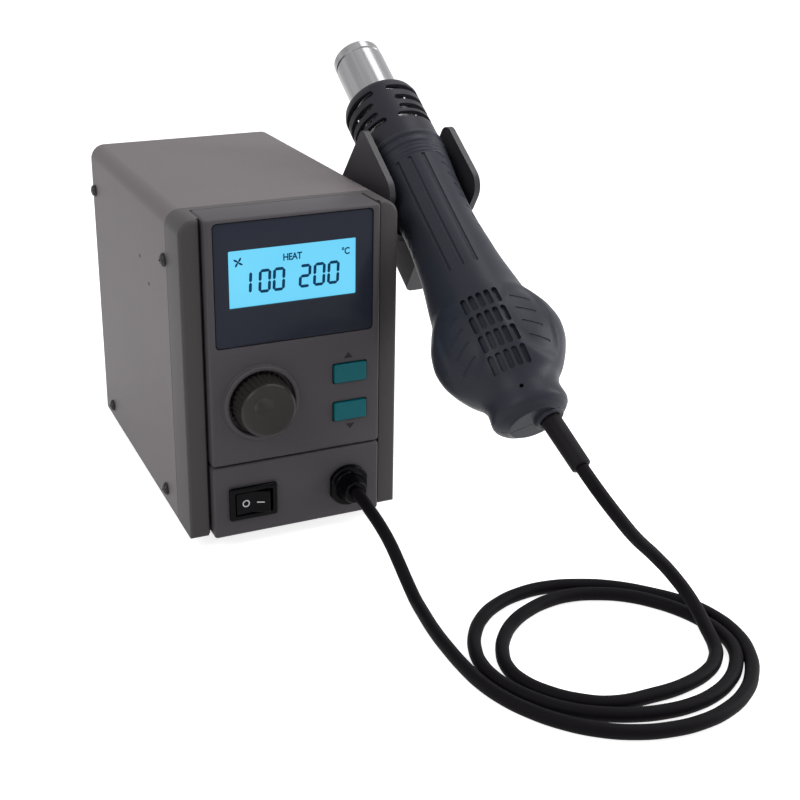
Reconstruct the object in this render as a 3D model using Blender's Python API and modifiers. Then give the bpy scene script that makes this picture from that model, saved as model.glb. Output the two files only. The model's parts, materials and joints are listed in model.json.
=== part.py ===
"""Hot air rework station: sheet metal case, moulded front, handset in its holder, and cord.

Lengths are in metres and +Z is up. The station's own frame has X = 0 on the case's middle
plane, Y = 0 on the front face of its centre panel, and Z = 0 on the table.
"""
import math

import bmesh
import bpy
from mathutils import Matrix, Vector

GAP = 0.0003
# How far a cutter runs past what it cuts.
BEYOND = 0.01

CASE_WIDTH = 0.098
CASE_DEPTH = 0.1643
CASE_HEIGHT = 0.1443
FOOT_HEIGHT = 0.0065
SHEET = 0.0012
CORNER_RADIUS = 0.007
# The origin is below the middle of the station, handset and holder included.
CASE_X = -0.0253
FRONT_Y = -0.0332

FRAME_BACK = 0.024
TRIM_WIDTH = 0.00995
TRIM_SETBACK = 0.0037
TRIM_WALL = 0.0038
FRAME_RIM = 0.006
FRAME_BEVEL = 0.0016
PANEL_BEVEL = 0.0012
PANEL_CORNER = 0.0008
GROOVE_WIDTH = 0.0015
GROOVE_DEPTH = 0.0028
PANEL_BACK = 0.0197
PANEL_WALL = 0.003
PANEL_SIDE_WALL = 0.0024
PANEL_SEAM = 0.0342
SPIGOT_LENGTH = 0.007
SPIGOT_WALL = 0.002
CENTRE_HALF = CASE_WIDTH / 2 - TRIM_WIDTH

KNOB_INSET = 0.02255
KNOB_RISE = 0.028
KNOB_FRONT = 0.0117
KNOB_BASE_RADIUS = 0.0138
KNOB_FACE_RADIUS = 0.0114
KNOB_RIBS = 34
RIB_DEPTH = 0.0005
COLLAR_RADIUS = 0.017
COLLAR_WALL = 0.0021
COLLAR_HEIGHT = 0.0024
KNOB_POCKET = 0.0015
SHAFT_RADIUS = 0.003
DIMPLE_RADIUS = 0.007
DIMPLE_PLACE = (-0.003, 0.0028, KNOB_FRONT + 0.0058)
BUSH_WALL = 0.0009
KNOB_X = KNOB_INSET - CENTRE_HALF
KNOB_Z = PANEL_SEAM + KNOB_RISE

DISPLAY_SIDE = 0.0035
DISPLAY_DROP = 0.0018
DISPLAY_ABOVE_KNOB = 0.0093
DISPLAY_THICK = 0.0012
DISPLAY_RECESS = 0.0005
DISPLAY_CORNER = 0.002
DISPLAY_LEFT = DISPLAY_SIDE - CENTRE_HALF
DISPLAY_RIGHT = CENTRE_HALF - DISPLAY_SIDE
DISPLAY_LOW = KNOB_Z + COLLAR_RADIUS + DISPLAY_ABOVE_KNOB
DISPLAY_HIGH = CASE_HEIGHT - DISPLAY_DROP
WINDOW_FROM_LEFT = 0.0065
WINDOW_FROM_RIGHT = 0.0076
WINDOW_TALL = 0.0249
# The share of the panel's free height that lies below the window.
WINDOW_LIFT = 0.584
WINDOW_LEFT = DISPLAY_LEFT + WINDOW_FROM_LEFT
WINDOW_RIGHT = DISPLAY_RIGHT - WINDOW_FROM_RIGHT
WINDOW_LOW = DISPLAY_LOW + WINDOW_LIFT * (DISPLAY_HIGH - DISPLAY_LOW - WINDOW_TALL)
WINDOW_HIGH = WINDOW_LOW + WINDOW_TALL
LCD_MARGIN = 0.0018
LCD_DEPTH = 0.008
BOARD_THICK = 0.0016
POST_INSET = 0.007

BUTTON_INSET = 0.01425
BUTTON_WIDTH = 0.0152
BUTTON_HEIGHT = 0.0084
BUTTON_PITCH = 0.01795
BUTTON_DROP = 0.00138
BUTTON_PROUD = 0.0013
BUTTON_TRAVEL = 0.0008
BUTTON_LIP = 0.001
PLUNGER_TOP = -0.0071
BUTTON_X = CENTRE_HALF - BUTTON_INSET
BUTTON_UP_Z = KNOB_Z - BUTTON_DROP + BUTTON_PITCH / 2
BUTTON_DOWN_Z = KNOB_Z - BUTTON_DROP - BUTTON_PITCH / 2

ROCKER_INSET = 0.01775
ROCKER_Z = 0.0158
BEZEL_WIDTH = 0.022
BEZEL_HEIGHT = 0.0156
BEZEL_PROUD = 0.0018
BEZEL_LIP = 0.0014
SWITCH_DEPTH = 0.0165
ROCKER_HALF = 0.0076
ROCKER_HEIGHT = 0.0104
ROCKER_PIVOT = -0.0015
ROCKER_TILT = math.radians(9)
ROCKER_X = ROCKER_INSET - CENTRE_HALF

GLAND_INSET = 0.01515
GLAND_Z = 0.0155
GLAND_RADIUS = 0.0096
GLAND_FLAT = 0.00875
GLAND_NECK = 0.0062
GLAND_LENGTH = 0.0105
GLAND_PLATE = 0.003
GLAND_TAPER = (0.0068, 0.0052)
NUT_WIDTH = 0.0028
NUT_THICK = 0.0035
GLAND_X = CENTRE_HALF - GLAND_INSET

SCREW_HEAD_RADIUS = 0.003
SCREW_HEAD_HEIGHT = 0.0019
SCREW_SHANK_RADIUS = 0.0015
SCREW_LENGTH = 0.006
UPPER_SCREW_DROP = 0.0223
UPPER_SCREW_FRONT = 0.0033
UPPER_SCREW_REAR = 0.0056
LOWER_SCREW_Z = 0.0073
LOWER_SCREW_FRONT = 0.0182
LOWER_SCREW_REAR = 0.0165
# Where the cover's screws go through on each side, as (Y, Z) places on the case.
COVER_SCREWS = (
    (CASE_DEPTH - UPPER_SCREW_REAR, CASE_HEIGHT - UPPER_SCREW_DROP),
    (FRAME_BACK + UPPER_SCREW_FRONT, CASE_HEIGHT - UPPER_SCREW_DROP),
    (CASE_DEPTH - LOWER_SCREW_REAR, LOWER_SCREW_Z),
    (FRAME_BACK + LOWER_SCREW_FRONT, LOWER_SCREW_Z),
)

FOOT_RADIUS = 0.0065
FOOT_CHAMFER = 0.001
FOOT_INSET_X = 0.016
FOOT_INSET_Y = 0.020

REAR_INSET = 0.001
FLANGE = 0.015
FLANGE_CLEARANCE = 0.005
INLET_X = -0.018
INLET_Z = 0.030
INLET_WIDTH = 0.0276
INLET_HEIGHT = 0.0196
INLET_RIM = 0.003
INLET_PROUD = 0.0028
INLET_DEPTH = 0.024
INLET_WALL = 0.0016
SOCKET_DEPTH = 0.0165
PIN_SPREAD = 0.007
PIN_STAGGER = 0.0025
PIN_LENGTH = 0.0115
PIN_WIDTH = 0.002
PIN_HEIGHT = 0.004

AIR_SLOT_ROWS = 2
AIR_SLOT_COLUMNS = 9
AIR_SLOT_WIDTH = 0.003
AIR_SLOT_LENGTH = 0.020
AIR_SLOT_PITCH = 0.008
AIR_SLOT_STEP = 0.026
AIR_SLOT_DROP = 0.0133

POWER_BOARD_SIDE = 0.0063
POWER_BOARD_FRONT = 0.026
POWER_BOARD_REAR = 0.0421
POWER_BOARD_LIFT = 0.008
BOARD_POST_RADIUS = 0.003
BOARD_POST_INSET = 0.005
CORE_X = -0.009
CORE_Y = 0.031
CORE_WIDTH = 0.042
CORE_DEPTH = 0.038
CORE_HEIGHT = 0.035
CORE_LEG = 0.0065
CORE_YOKE = 0.008
COIL_OVERHANG = 0.004
SINK_INSET = 0.018
SINK_DEPTH = 0.042
SINK_HEIGHT = 0.030
SINK_PLATE = 0.002
SINK_FIN_LENGTH = 0.010
SINK_FIN = 0.0015
SINK_FINS = 6

# The handset's axis: a point on it, and its fall towards the front.
AXIS_STANDOFF = 0.0255
AXIS_RISE = 0.01123
AXIS_X = CASE_WIDTH / 2 + AXIS_STANDOFF
AXIS_Y = 0.060
AXIS_Z = CASE_HEIGHT + AXIS_RISE
AXIS_TILT = math.radians(33.2)
HANDSET_ROLL = math.radians(-26)
SHELL_WALL = 0.0022
NECK_RADIUS = 0.0184
SHELL_TOP = 0.003
SHELL_END = 0.1608
SHELL_SIDES = 11
# The shell's half width and half depth at places along its axis, and how far its sides bulge
# rearwards of the parting plane.
HALF_WIDTHS = (
    (0.003, 0.0184), (0.018, 0.0182), (0.035, 0.0170), (0.054, 0.0164), (0.076, 0.0178),
    (0.092, 0.0201), (0.0996, 0.0213), (0.1066, 0.0244), (0.115, 0.0275), (0.122, 0.0285),
    (0.128, 0.0277), (0.134, 0.0254), (0.1408, 0.0213), (0.1455, 0.0173), (0.1497, 0.0160),
    (0.1557, 0.0165), (0.1588, 0.0143), (0.1608, 0.0110),
)
HALF_DEPTHS = (
    (0.003, 0.0184), (0.018, 0.0182), (0.035, 0.0170), (0.054, 0.0164), (0.076, 0.0173),
    (0.092, 0.0182), (0.1066, 0.0197), (0.115, 0.0206), (0.124, 0.0209), (0.134, 0.0198),
    (0.1408, 0.0180), (0.1455, 0.0164), (0.1497, 0.0156), (0.1557, 0.0154), (0.1588, 0.0136),
    (0.1608, 0.0105),
)
REAR_BULGES = (
    (0.003, 0.0), (0.072, 0.0), (0.085, 0.0011), (0.098, 0.0021), (0.112, 0.0009), (0.125, 0.0004),
    (0.150, 0.0), (0.1608, 0.0),
)
RING_PLACES = (0.0065, 0.0105, 0.0145)
RING_DEPTH = 0.0006
RING_HALF = 0.0012
SHELL_STATIONS = (
    0.018, 0.036, 0.054, 0.072, 0.088, 0.0985, 0.106, 0.1135, 0.121, 0.128, 0.1345, 0.1405, 0.1455,
    0.150, 0.1557, 0.1588,
)
VENT_TOP = 0.10515
VENT_ROWS = 4
VENT_COLUMNS = 5
VENT_STEP = 0.00987
VENT_PITCH = 0.0035
VENT_LENGTH = 0.0082
VENT_WIDTH = 0.0023
VENT_HOLE_DROP = 0.00784
VENT_HOLE_RADIUS = 0.0009
LINE_START = 0.024
LINE_END = 0.0885
LINE_RADIUS = 0.0009
LINE_PLACES = (-0.006, 0, 0.0063)

BARREL_RADIUS = 0.012
BARREL_WALL = 0.0006
BARREL_TIP = -0.0593
BARREL_BASE = 0.0035
BARREL_FLANGE = 0.0015
BEAD_LENGTH = 0.0042
BEAD_DEPTH = 0.0008
HEATER_LOW = -0.002
HEATER_SETBACK = 0.017
AIR_HOLE_RADIUS = 0.0017
AIR_HOLE_DEPTH = 0.010
AIR_HOLE_RING = 0.0065
GUARD_RADIUS = 0.0185
GUARD_WALL = 0.002
GUARD_TOP = -0.0256
GUARD_SHOULDER = 0.0007
GUARD_SHOULDER_LENGTH = 0.0035
GUARD_TURN = 3
GUARD_SLOT = 0.0024
# Each ring of slots: its place along the axis, and half the width of the web at its front.
GUARD_SLOTS = ((-0.0189, 0.0046), (-0.0122, 0.0067), (-0.0061, 0.0067), (-0.0010, 0.0042))
GUARD_SLOT_END = math.radians(150)

DUCT_TOP = 0.110
DUCT_LENGTH = 0.011
DUCT_WALL = 0.0012
DUCT_FLOOR = 0.0015
HUB_RADIUS = 0.009
STRUT_WIDTH = 0.002
MOTOR_RADIUS = 0.0085
MOTOR_LENGTH = 0.013
MOTOR_SHAFT_RADIUS = 0.0012
ROTOR_RADIUS = 0.0062
ROTOR_BLADES = 8
BLADE_PITCH = 40
BLADE_THICK = 0.0012
BLADE_CHORD = 0.0076
REED_PLACE = 0.030
REED_HALF = 0.007
REED_RADIUS = 0.0011

SLEEVE_X = 0.006
SLEEVE_RADIUS = 0.0043
SLEEVE_LENGTH = 0.0255
SLEEVE_PLUG = 0.005
SLEEVE_LEAN = math.radians(-6.5)
CORD_RADIUS = 0.00275
CORD_STEP = 0.0132
# The cord's route from the sleeve to the gland: down to the table, two turns and a half, and back.
CORD_ROUTE = (
    (0.0824, -0.0982, 0.0631), (0.0829, -0.1016, 0.0611), (0.0860, -0.1076, 0.0547),
    (0.0917, -0.1119, 0.0460), (0.0992, -0.1139, 0.0364), (0.1077, -0.1154, 0.0276),
    (0.1150, -0.1192, 0.0188), (0.1189, -0.1268, 0.0110), (0.1181, -0.1374, 0.0057),
    (0.1148, -0.1486, 0.0029), (0.1104, -0.1541, 0.00275), (0.1040, -0.1588, 0.00275),
    (0.0895, -0.1633, 0.00275), (0.0750, -0.1640, 0.00275), (0.0588, -0.1623, 0.00275),
    (0.0489, -0.1567, 0.00275), (0.0406, -0.1479, 0.00275), (0.0359, -0.1385, 0.00275),
    (0.0350, -0.1290, 0.00275), (0.0382, -0.1190, 0.00275), (0.0444, -0.1098, 0.00275),
    (0.0524, -0.1026, 0.00275), (0.0620, -0.0974, 0.00275), (0.0726, -0.0943, 0.00275),
    (0.0833, -0.0938, 0.00275), (0.0952, -0.0972, 0.00275), (0.1052, -0.1030, 0.00275),
    (0.1130, -0.1110, 0.00275), (0.1190, -0.1205, 0.00275), (0.1226, -0.1310, 0.00275),
    (0.1236, -0.1420, 0.00275), (0.1210, -0.1522, 0.00275), (0.1140, -0.1615, 0.00275),
    (0.1060, -0.1677, 0.00275), (0.0960, -0.1722, 0.00275), (0.0850, -0.1742, 0.00275),
    (0.0740, -0.1738, 0.00275), (0.0630, -0.1713, 0.00275), (0.0523, -0.1666, 0.00275),
    (0.0426, -0.1599, 0.00275), (0.0354, -0.1516, 0.00275), (0.0303, -0.1425, 0.00275),
    (0.0274, -0.1335, 0.00275), (0.0268, -0.1240, 0.00275), (0.0292, -0.1138, 0.00275),
    (0.0347, -0.1035, 0.00275), (0.0430, -0.0945, 0.00275), (0.0530, -0.0884, 0.00275),
    (0.0650, -0.0849, 0.00275), (0.0780, -0.0847, 0.00275), (0.0923, -0.0888, 0.00275),
    (0.1040, -0.0952, 0.00275), (0.1150, -0.1052, 0.00275), (0.1238, -0.1165, 0.00275),
    (0.1286, -0.1295, 0.00275), (0.1290, -0.1430, 0.00275), (0.1248, -0.1560, 0.00275),
    (0.1170, -0.1672, 0.00275), (0.1070, -0.1757, 0.00275), (0.0950, -0.1813, 0.00275),
    (0.0820, -0.1837, 0.00275), (0.0690, -0.1829, 0.00275), (0.0570, -0.1795, 0.00275),
    (0.0460, -0.1734, 0.00275), (0.0362, -0.1645, 0.00275), (0.0287, -0.1540, 0.00275),
    (0.0240, -0.1440, 0.00275), (0.0212, -0.1335, 0.00275), (0.0201, -0.1220, 0.00275),
    (0.0200, -0.1090, 0.00275), (0.0206, -0.0960, 0.00275), (0.0221, -0.0830, 0.00275),
    (0.0234, -0.0725, 0.0032), (0.0239, -0.0643, 0.0060), (0.0239, -0.0560, 0.0106),
    (0.0239, -0.0470, 0.0152), (0.0239, -0.0370, 0.0184), (0.0239, -0.0265, 0.0204),
    (0.0239, -0.0170, 0.0218), (0.0239, -0.0060, 0.0220),
)

HOLDER_INNER = 0.0197
HOLDER_WALL = 0.0028
HOLDER_TOP = 0.002
HOLDER_END = 0.043
HOLDER_RIM = 0.014
HOLDER_TIP_RADIUS = 0.003
HOLDER_EAR_RADIUS = 0.0065
HOLDER_FOOT_RADIUS = 0.008
# The wall beside the case runs on upwards a little as it goes down to its screws.
HOLDER_WALL_SLOPE = 0.136
HOLDER_SCREWS = (0.0151, 0.0322)
HOLDER_SCREW_DROP = 0.0423
HOLDER_SCREW_LENGTH = 0.0095
HOLDER_SCREW_MARGIN = 0.0075
LUG_RADIUS = 0.005
CHANNEL_HALF = 0.0055
CHANNEL_DROP = 0.043
CHANNEL_WALL = 0.002
CHANNEL_TOP = 0.014
CHANNEL_END = 0.0545
CHANNEL_RADIUS = 0.0035
MAGNET_LENGTH = 0.012
MAGNET_THICK = 0.003
MAGNET_PLACE = 0.032

FRONTWAYS = (math.radians(90), 0, 0)
REARWAYS = (math.radians(90), 0, math.radians(180))
SIDEWAYS = (math.radians(90), 0, math.radians(90))
TO_LEFT = (0, math.radians(-90), 0)
TO_RIGHT = (0, math.radians(90), 0)

FINISHES = {
    "cover_enamel": ("6e6865", 0.55, 0.0),
    "front_moulding": ("4a4748", 0.5, 0.0),
    "trim_moulding": ("3f3c3d", 0.5, 0.0),
    "display_panel": ("2c303b", 0.3, 0.0),
    "lit_display": ("70d8ff", 0.25, 0.0),
    "circuit_board": ("1f5a34", 0.5, 0.0),
    "knob_black": ("38393a", 0.5, 0.0),
    "button_teal": ("247672", 0.45, 0.0),
    "switch_black": ("141418", 0.35, 0.0),
    "handset_slate": ("3f4249", 0.55, 0.0),
    "holder_grey": ("353336", 0.55, 0.0),
    "polished_steel": ("c4c4c6", 0.2, 1.0),
    "bare_steel": ("9a9a9c", 0.4, 1.0),
    "black_screw": ("1c1c1e", 0.4, 0.8),
    "rubber_black": ("141316", 0.7, 0.0),
    "cord_black": ("0d0a0e", 0.6, 0.0),
    "ceramic": ("d8cfc0", 0.7, 0.0),
    "aluminium": ("b8babc", 0.35, 1.0),
    "glass_tube": ("bcd4cc", 0.1, 0.0),
}


def linear(value):
    """Turn one sRGB channel, 0 to 1, into a linear one."""
    return value / 12.92 if value <= 0.04045 else ((value + 0.055) / 1.055) ** 2.4


def make_material(name, finish):
    """Give one part its own Principled material in the named finish."""
    code, roughness, metallic = FINISHES[finish]
    channels = [linear(int(code[i:i + 2], 16) / 255) for i in (0, 2, 4)]
    material = bpy.data.materials.new(name + "_" + finish)
    material.use_nodes = True
    shader = material.node_tree.nodes["Principled BSDF"]
    shader.inputs["Base Color"].default_value = (*channels, 1)
    shader.inputs["Roughness"].default_value = roughness
    shader.inputs["Metallic"].default_value = metallic
    return material


def make_empty(name, parent=None, location=(0, 0, 0), rotation=(0, 0, 0)):
    """Add a frame that parts are placed in."""
    empty = bpy.data.objects.new(name, None)
    parts.objects.link(empty)
    empty.parent = parent
    empty.location = location
    empty.rotation_euler = rotation
    return empty


def place(obj, group, parent, location, rotation):
    """Link an object and set where it stands under its parent."""
    group.objects.link(obj)
    obj.parent = parent
    obj.location = location
    obj.rotation_euler = rotation
    return obj


def mesh_from(bm, name):
    """Turn a bmesh into a mesh that faces outwards, smooth where it is round."""
    bmesh.ops.recalc_face_normals(bm, faces=bm.faces)
    mesh = bpy.data.meshes.new(name)
    bm.to_mesh(mesh)
    bm.free()
    mesh.shade_smooth()
    mesh.set_sharp_from_angle(angle=math.radians(35))
    return mesh


def make_part(name, bm, finish, parent, location=(0, 0, 0), rotation=(0, 0, 0)):
    """Make one named sub-part from a bmesh."""
    obj = bpy.data.objects.new(name, mesh_from(bm, name))
    obj.data.materials.append(make_material(name, finish))
    return place(obj, parts, parent, location, rotation)


def make_cutter(name, bm, parent, location=(0, 0, 0), rotation=(0, 0, 0)):
    """Make a hidden shape that other parts are cut by or joined with."""
    obj = bpy.data.objects.new(name, mesh_from(bm, name))
    obj.hide_render = True
    obj.display_type = "WIRE"
    return place(obj, cutters, parent, location, rotation)


def combine(part, other, operation):
    """Cut a part by another shape, or join the shape to it."""
    modifier = part.modifiers.new(operation.lower() + "_" + other.name, "BOOLEAN")
    modifier.operation = operation
    modifier.solver = "EXACT"
    modifier.object = other


def cut(part, *others):
    """Take shapes away from a part."""
    for other in others:
        combine(part, other, "DIFFERENCE")


def join(part, *others):
    """Add shapes to a part."""
    for other in others:
        combine(part, other, "UNION")


def arc(centre, radius_u, radius_v, start, end, steps):
    """Points along an arc of an ellipse, with both ends."""
    points = []
    for step in range(steps + 1):
        angle = start + (end - start) * step / steps
        points.append((centre[0] + radius_u * math.cos(angle), centre[1] + radius_v * math.sin(angle)))
    return points


def circle(radius, steps, centre=(0, 0)):
    """A closed round outline."""
    return arc(centre, radius, radius, 0, 2 * math.pi, steps)[:-1]


def rounded(left, right, low, high, radius, low_radius=None, steps=4):
    """A rectangle with rounded corners; the lower two may have their own radius."""
    low_radius = radius if low_radius is None else low_radius
    quarter = math.pi / 2
    outline = []
    corners = (
        (right - radius, high - radius, radius, 0),
        (left + radius, high - radius, radius, quarter),
        (left + low_radius, low + low_radius, low_radius, 2 * quarter),
        (right - low_radius, low + low_radius, low_radius, 3 * quarter),
    )
    for u, v, size, start in corners:
        outline += arc((u, v), size, size, start, start + quarter, steps)
    return outline


def prism(outline, low, high, holes=(), bevel=0, segments=2):
    """A flat outline made thick along Z, with holes, or with its upper edge bevelled."""
    bm = bmesh.new()
    edges = []
    for loop in (outline, *holes):
        verts = [bm.verts.new((u, v, low)) for u, v in loop]
        edges += [bm.edges.new((verts[i - 1], verts[i])) for i in range(len(verts))]
    if holes:
        filled = bmesh.ops.triangle_fill(bm, edges=edges, use_beauty=True)["geom"]
        faces = [item for item in filled if isinstance(item, bmesh.types.BMFace)]
    else:
        faces = bmesh.ops.contextual_create(bm, geom=edges)["faces"]
    grown = bmesh.ops.extrude_face_region(bm, geom=faces)["geom"]
    raised = [item for item in grown if isinstance(item, bmesh.types.BMVert)]
    bmesh.ops.translate(bm, verts=raised, vec=(0, 0, high - low))
    if bevel:
        rim = [e for e in bm.edges if all(abs(v.co.z - high) < GAP / 10 for v in e.verts)]
        bmesh.ops.bevel(bm, geom=rim, offset=bevel, segments=segments, profile=0.5, affect="EDGES",
                        clamp_overlap=True, material=-1)
    return bm


def block(left, right, low, high, back, front, bevel=0):
    """A box between six limits along X, Y and Z."""
    bm = bmesh.new()
    bmesh.ops.create_cube(bm, size=1)
    bmesh.ops.scale(bm, verts=bm.verts, vec=(right - left, high - low, front - back))
    middle = Vector((left + right, low + high, back + front)) / 2
    bmesh.ops.translate(bm, verts=bm.verts, vec=middle)
    if bevel:
        bmesh.ops.bevel(bm, geom=bm.edges, offset=bevel, segments=2, profile=0.5, affect="EDGES",
                        clamp_overlap=True, material=-1)
    return bm


def rod(radius, low, high, steps=16, centre=(0, 0)):
    """A round bar along Z."""
    bm = bmesh.new()
    bmesh.ops.create_cone(bm, cap_ends=True, segments=steps, radius1=radius, radius2=radius,
                          depth=high - low)
    bmesh.ops.translate(bm, verts=bm.verts, vec=(centre[0], centre[1], (low + high) / 2))
    return bm


def gather(shapes):
    """Put separate shapes in one bmesh."""
    whole = bmesh.new()
    for shape in shapes:
        piece = bpy.data.meshes.new("piece")
        shape.to_mesh(piece)
        shape.free()
        whole.from_mesh(piece)
        bpy.data.meshes.remove(piece)
    return whole


def turn_about(axis, degrees, bm):
    """Turn a bmesh about the origin."""
    turn = Matrix.Rotation(math.radians(degrees), 3, axis)
    bmesh.ops.rotate(bm, verts=bm.verts, cent=(0, 0, 0), matrix=turn)
    return bm


def turned(name, profile, finish, parent, location=(0, 0, 0), rotation=(0, 0, 0), steps=32,
           closed=False):
    """A lathe-turned part; the profile's (radius, height) points run down its outer side."""
    bm = bmesh.new()
    verts = [bm.verts.new((radius, 0, height)) for radius, height in profile]
    for i in range(0 if closed else 1, len(verts)):
        bm.edges.new((verts[i - 1], verts[i]))
    mesh = bpy.data.meshes.new(name)
    bm.to_mesh(mesh)
    bm.free()
    obj = bpy.data.objects.new(name, mesh)
    screw = obj.modifiers.new("lathe", "SCREW")
    screw.axis = "Z"
    screw.angle = 2 * math.pi
    screw.steps = screw.render_steps = steps
    screw.use_merge_vertices = True
    screw.merge_threshold = 0.00005
    screw.use_smooth_shade = True
    obj.data.materials.append(make_material(name, finish))
    return place(obj, parts, parent, location, rotation)


def along(keys, s):
    """Read a smooth curve through (place, size) pairs, with no overshoot between them."""
    for i in range(len(keys) - 1):
        if s <= keys[i + 1][0]:
            break
    slopes = []
    for k in (i, i + 1):
        before = keys[max(k - 1, 0)]
        here = keys[k]
        after = keys[min(k + 1, len(keys) - 1)]
        rise_in = (here[1] - before[1]) / (here[0] - before[0]) if k > 0 else 0
        rise_out = (after[1] - here[1]) / (after[0] - here[0]) if k < len(keys) - 1 else 0
        flat = rise_in * rise_out <= 0
        slopes.append(0 if flat else 2 * rise_in * rise_out / (rise_in + rise_out))
    (s0, size0), (s1, size1) = keys[i], keys[i + 1]
    step = s1 - s0
    t = (s - s0) / step
    return (size0 * (1 + 2 * t) * (1 - t) ** 2 + slopes[0] * step * t * (1 - t) ** 2
            + size1 * t * t * (3 - 2 * t) + slopes[1] * step * t * t * (t - 1))


def build_case(station):
    """The folded base with its rear panel, the cover over it, screws and feet."""
    case = make_empty("case", station, (0, 0, FOOT_HEIGHT))
    front = make_empty("front", case, (0, 0, 0), FRONTWAYS)
    half = CASE_WIDTH / 2
    base_half = half - SHEET - GAP
    rear = CASE_DEPTH - REAR_INSET
    rear_inner = rear - SHEET
    flange_start = FRAME_BACK + SPIGOT_LENGTH + GAP
    flange_top = CASE_HEIGHT - CORNER_RADIUS - FLANGE_CLEARANCE
    wall_top = CASE_HEIGHT - SHEET - GAP
    profile = (
        (FRAME_BACK + GAP, 0), (FRAME_BACK + GAP, SHEET), (flange_start, SHEET), (flange_start, FLANGE),
        (rear - FLANGE, FLANGE), (rear - FLANGE, flange_top), (rear_inner, flange_top),
        (rear_inner, wall_top), (rear, wall_top), (rear, 0),
    )
    chassis = make_part("chassis_base", prism(profile, -base_half, base_half), "cover_enamel", case,
                        rotation=SIDEWAYS)
    inside = base_half - SHEET
    hollow = block(0, rear_inner, SHEET, CASE_HEIGHT, -inside, inside)
    cut(chassis, make_cutter("chassis_inside", hollow, case, rotation=SIDEWAYS))
    envelope = rounded(-base_half, base_half, -BEYOND, wall_top, CORNER_RADIUS - SHEET, SHEET, steps=5)
    combine(chassis, make_cutter("chassis_envelope", prism(envelope, -CASE_DEPTH, 0), front), "INTERSECT")

    corner = (half - CORNER_RADIUS, CASE_HEIGHT - CORNER_RADIUS)
    inner_radius = CORNER_RADIUS - SHEET
    right = [(half, 0)] + arc(corner, CORNER_RADIUS, CORNER_RADIUS, 0, math.pi / 2, 5)
    left = [(-u, v) for u, v in reversed(right)]
    right_inner = arc(corner, inner_radius, inner_radius, math.pi / 2, 0, 5) + [(half - SHEET, 0)]
    left_inner = [(-u, v) for u, v in reversed(right_inner)]
    outline = right + left + left_inner + right_inner
    cover = make_part("top_cover", prism(outline, -CASE_DEPTH, -FRAME_BACK - GAP), "cover_enamel", front)

    bore = SCREW_SHANK_RADIUS + GAP
    reach = half + BEYOND
    bores = [rod(bore, -reach, reach, 8, (y, z)) for y, z in COVER_SCREWS]
    bore_cutter = make_cutter("cover_screw_bores", gather(bores), case, rotation=SIDEWAYS)
    cut(chassis, bore_cutter)
    cut(cover, bore_cutter)
    cradle_bores = []
    for s in HOLDER_SCREWS:
        y = AXIS_Y - s * math.cos(AXIS_TILT) + HOLDER_SCREW_DROP * math.sin(AXIS_TILT)
        z = AXIS_Z - s * math.sin(AXIS_TILT) - HOLDER_SCREW_DROP * math.cos(AXIS_TILT)
        cradle_bores.append(rod(bore, 0, reach, 8, (y, z)))
    cut(cover, make_cutter("holder_screw_bores", gather(cradle_bores), case, rotation=SIDEWAYS))

    for number, (y, z) in enumerate(COVER_SCREWS, 1):
        for side, sign, turn in (("left", -1, TO_LEFT), ("right", 1, TO_RIGHT)):
            add_screw("cover_screw_" + side + "_" + str(number), case, (sign * (half + GAP), y, z), turn)

    foot_profile = (
        (0, -GAP), (FOOT_RADIUS, -GAP), (FOOT_RADIUS, -FOOT_HEIGHT + FOOT_CHAMFER),
        (FOOT_RADIUS - FOOT_CHAMFER, -FOOT_HEIGHT), (0, -FOOT_HEIGHT),
    )
    for depth, y in (("front", FRAME_BACK + FOOT_INSET_Y), ("rear", CASE_DEPTH - FOOT_INSET_Y)):
        for side, x in (("left", FOOT_INSET_X - half), ("right", half - FOOT_INSET_X)):
            turned("foot_" + depth + "_" + side, foot_profile, "rubber_black", case, (x, y, 0), steps=14)
    build_inlet(case, chassis)
    build_power(case, chassis, inside, rear_inner)
    return case, front


def add_screw(name, parent, location, rotation, length=SCREW_LENGTH):
    """A pan head screw whose head stands on the plane of its location."""
    radius = SCREW_HEAD_RADIUS
    profile = [(0, SCREW_HEAD_HEIGHT)]
    for degrees in (45, 90):
        angle = math.radians(degrees)
        profile.append((radius * math.sin(angle) ** 0.8, SCREW_HEAD_HEIGHT * math.cos(angle) ** 0.8))
    profile += [(SCREW_SHANK_RADIUS, 0), (SCREW_SHANK_RADIUS, -length), (0, -length)]
    return turned(name, profile, "black_screw", parent, location, rotation, steps=8)


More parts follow.
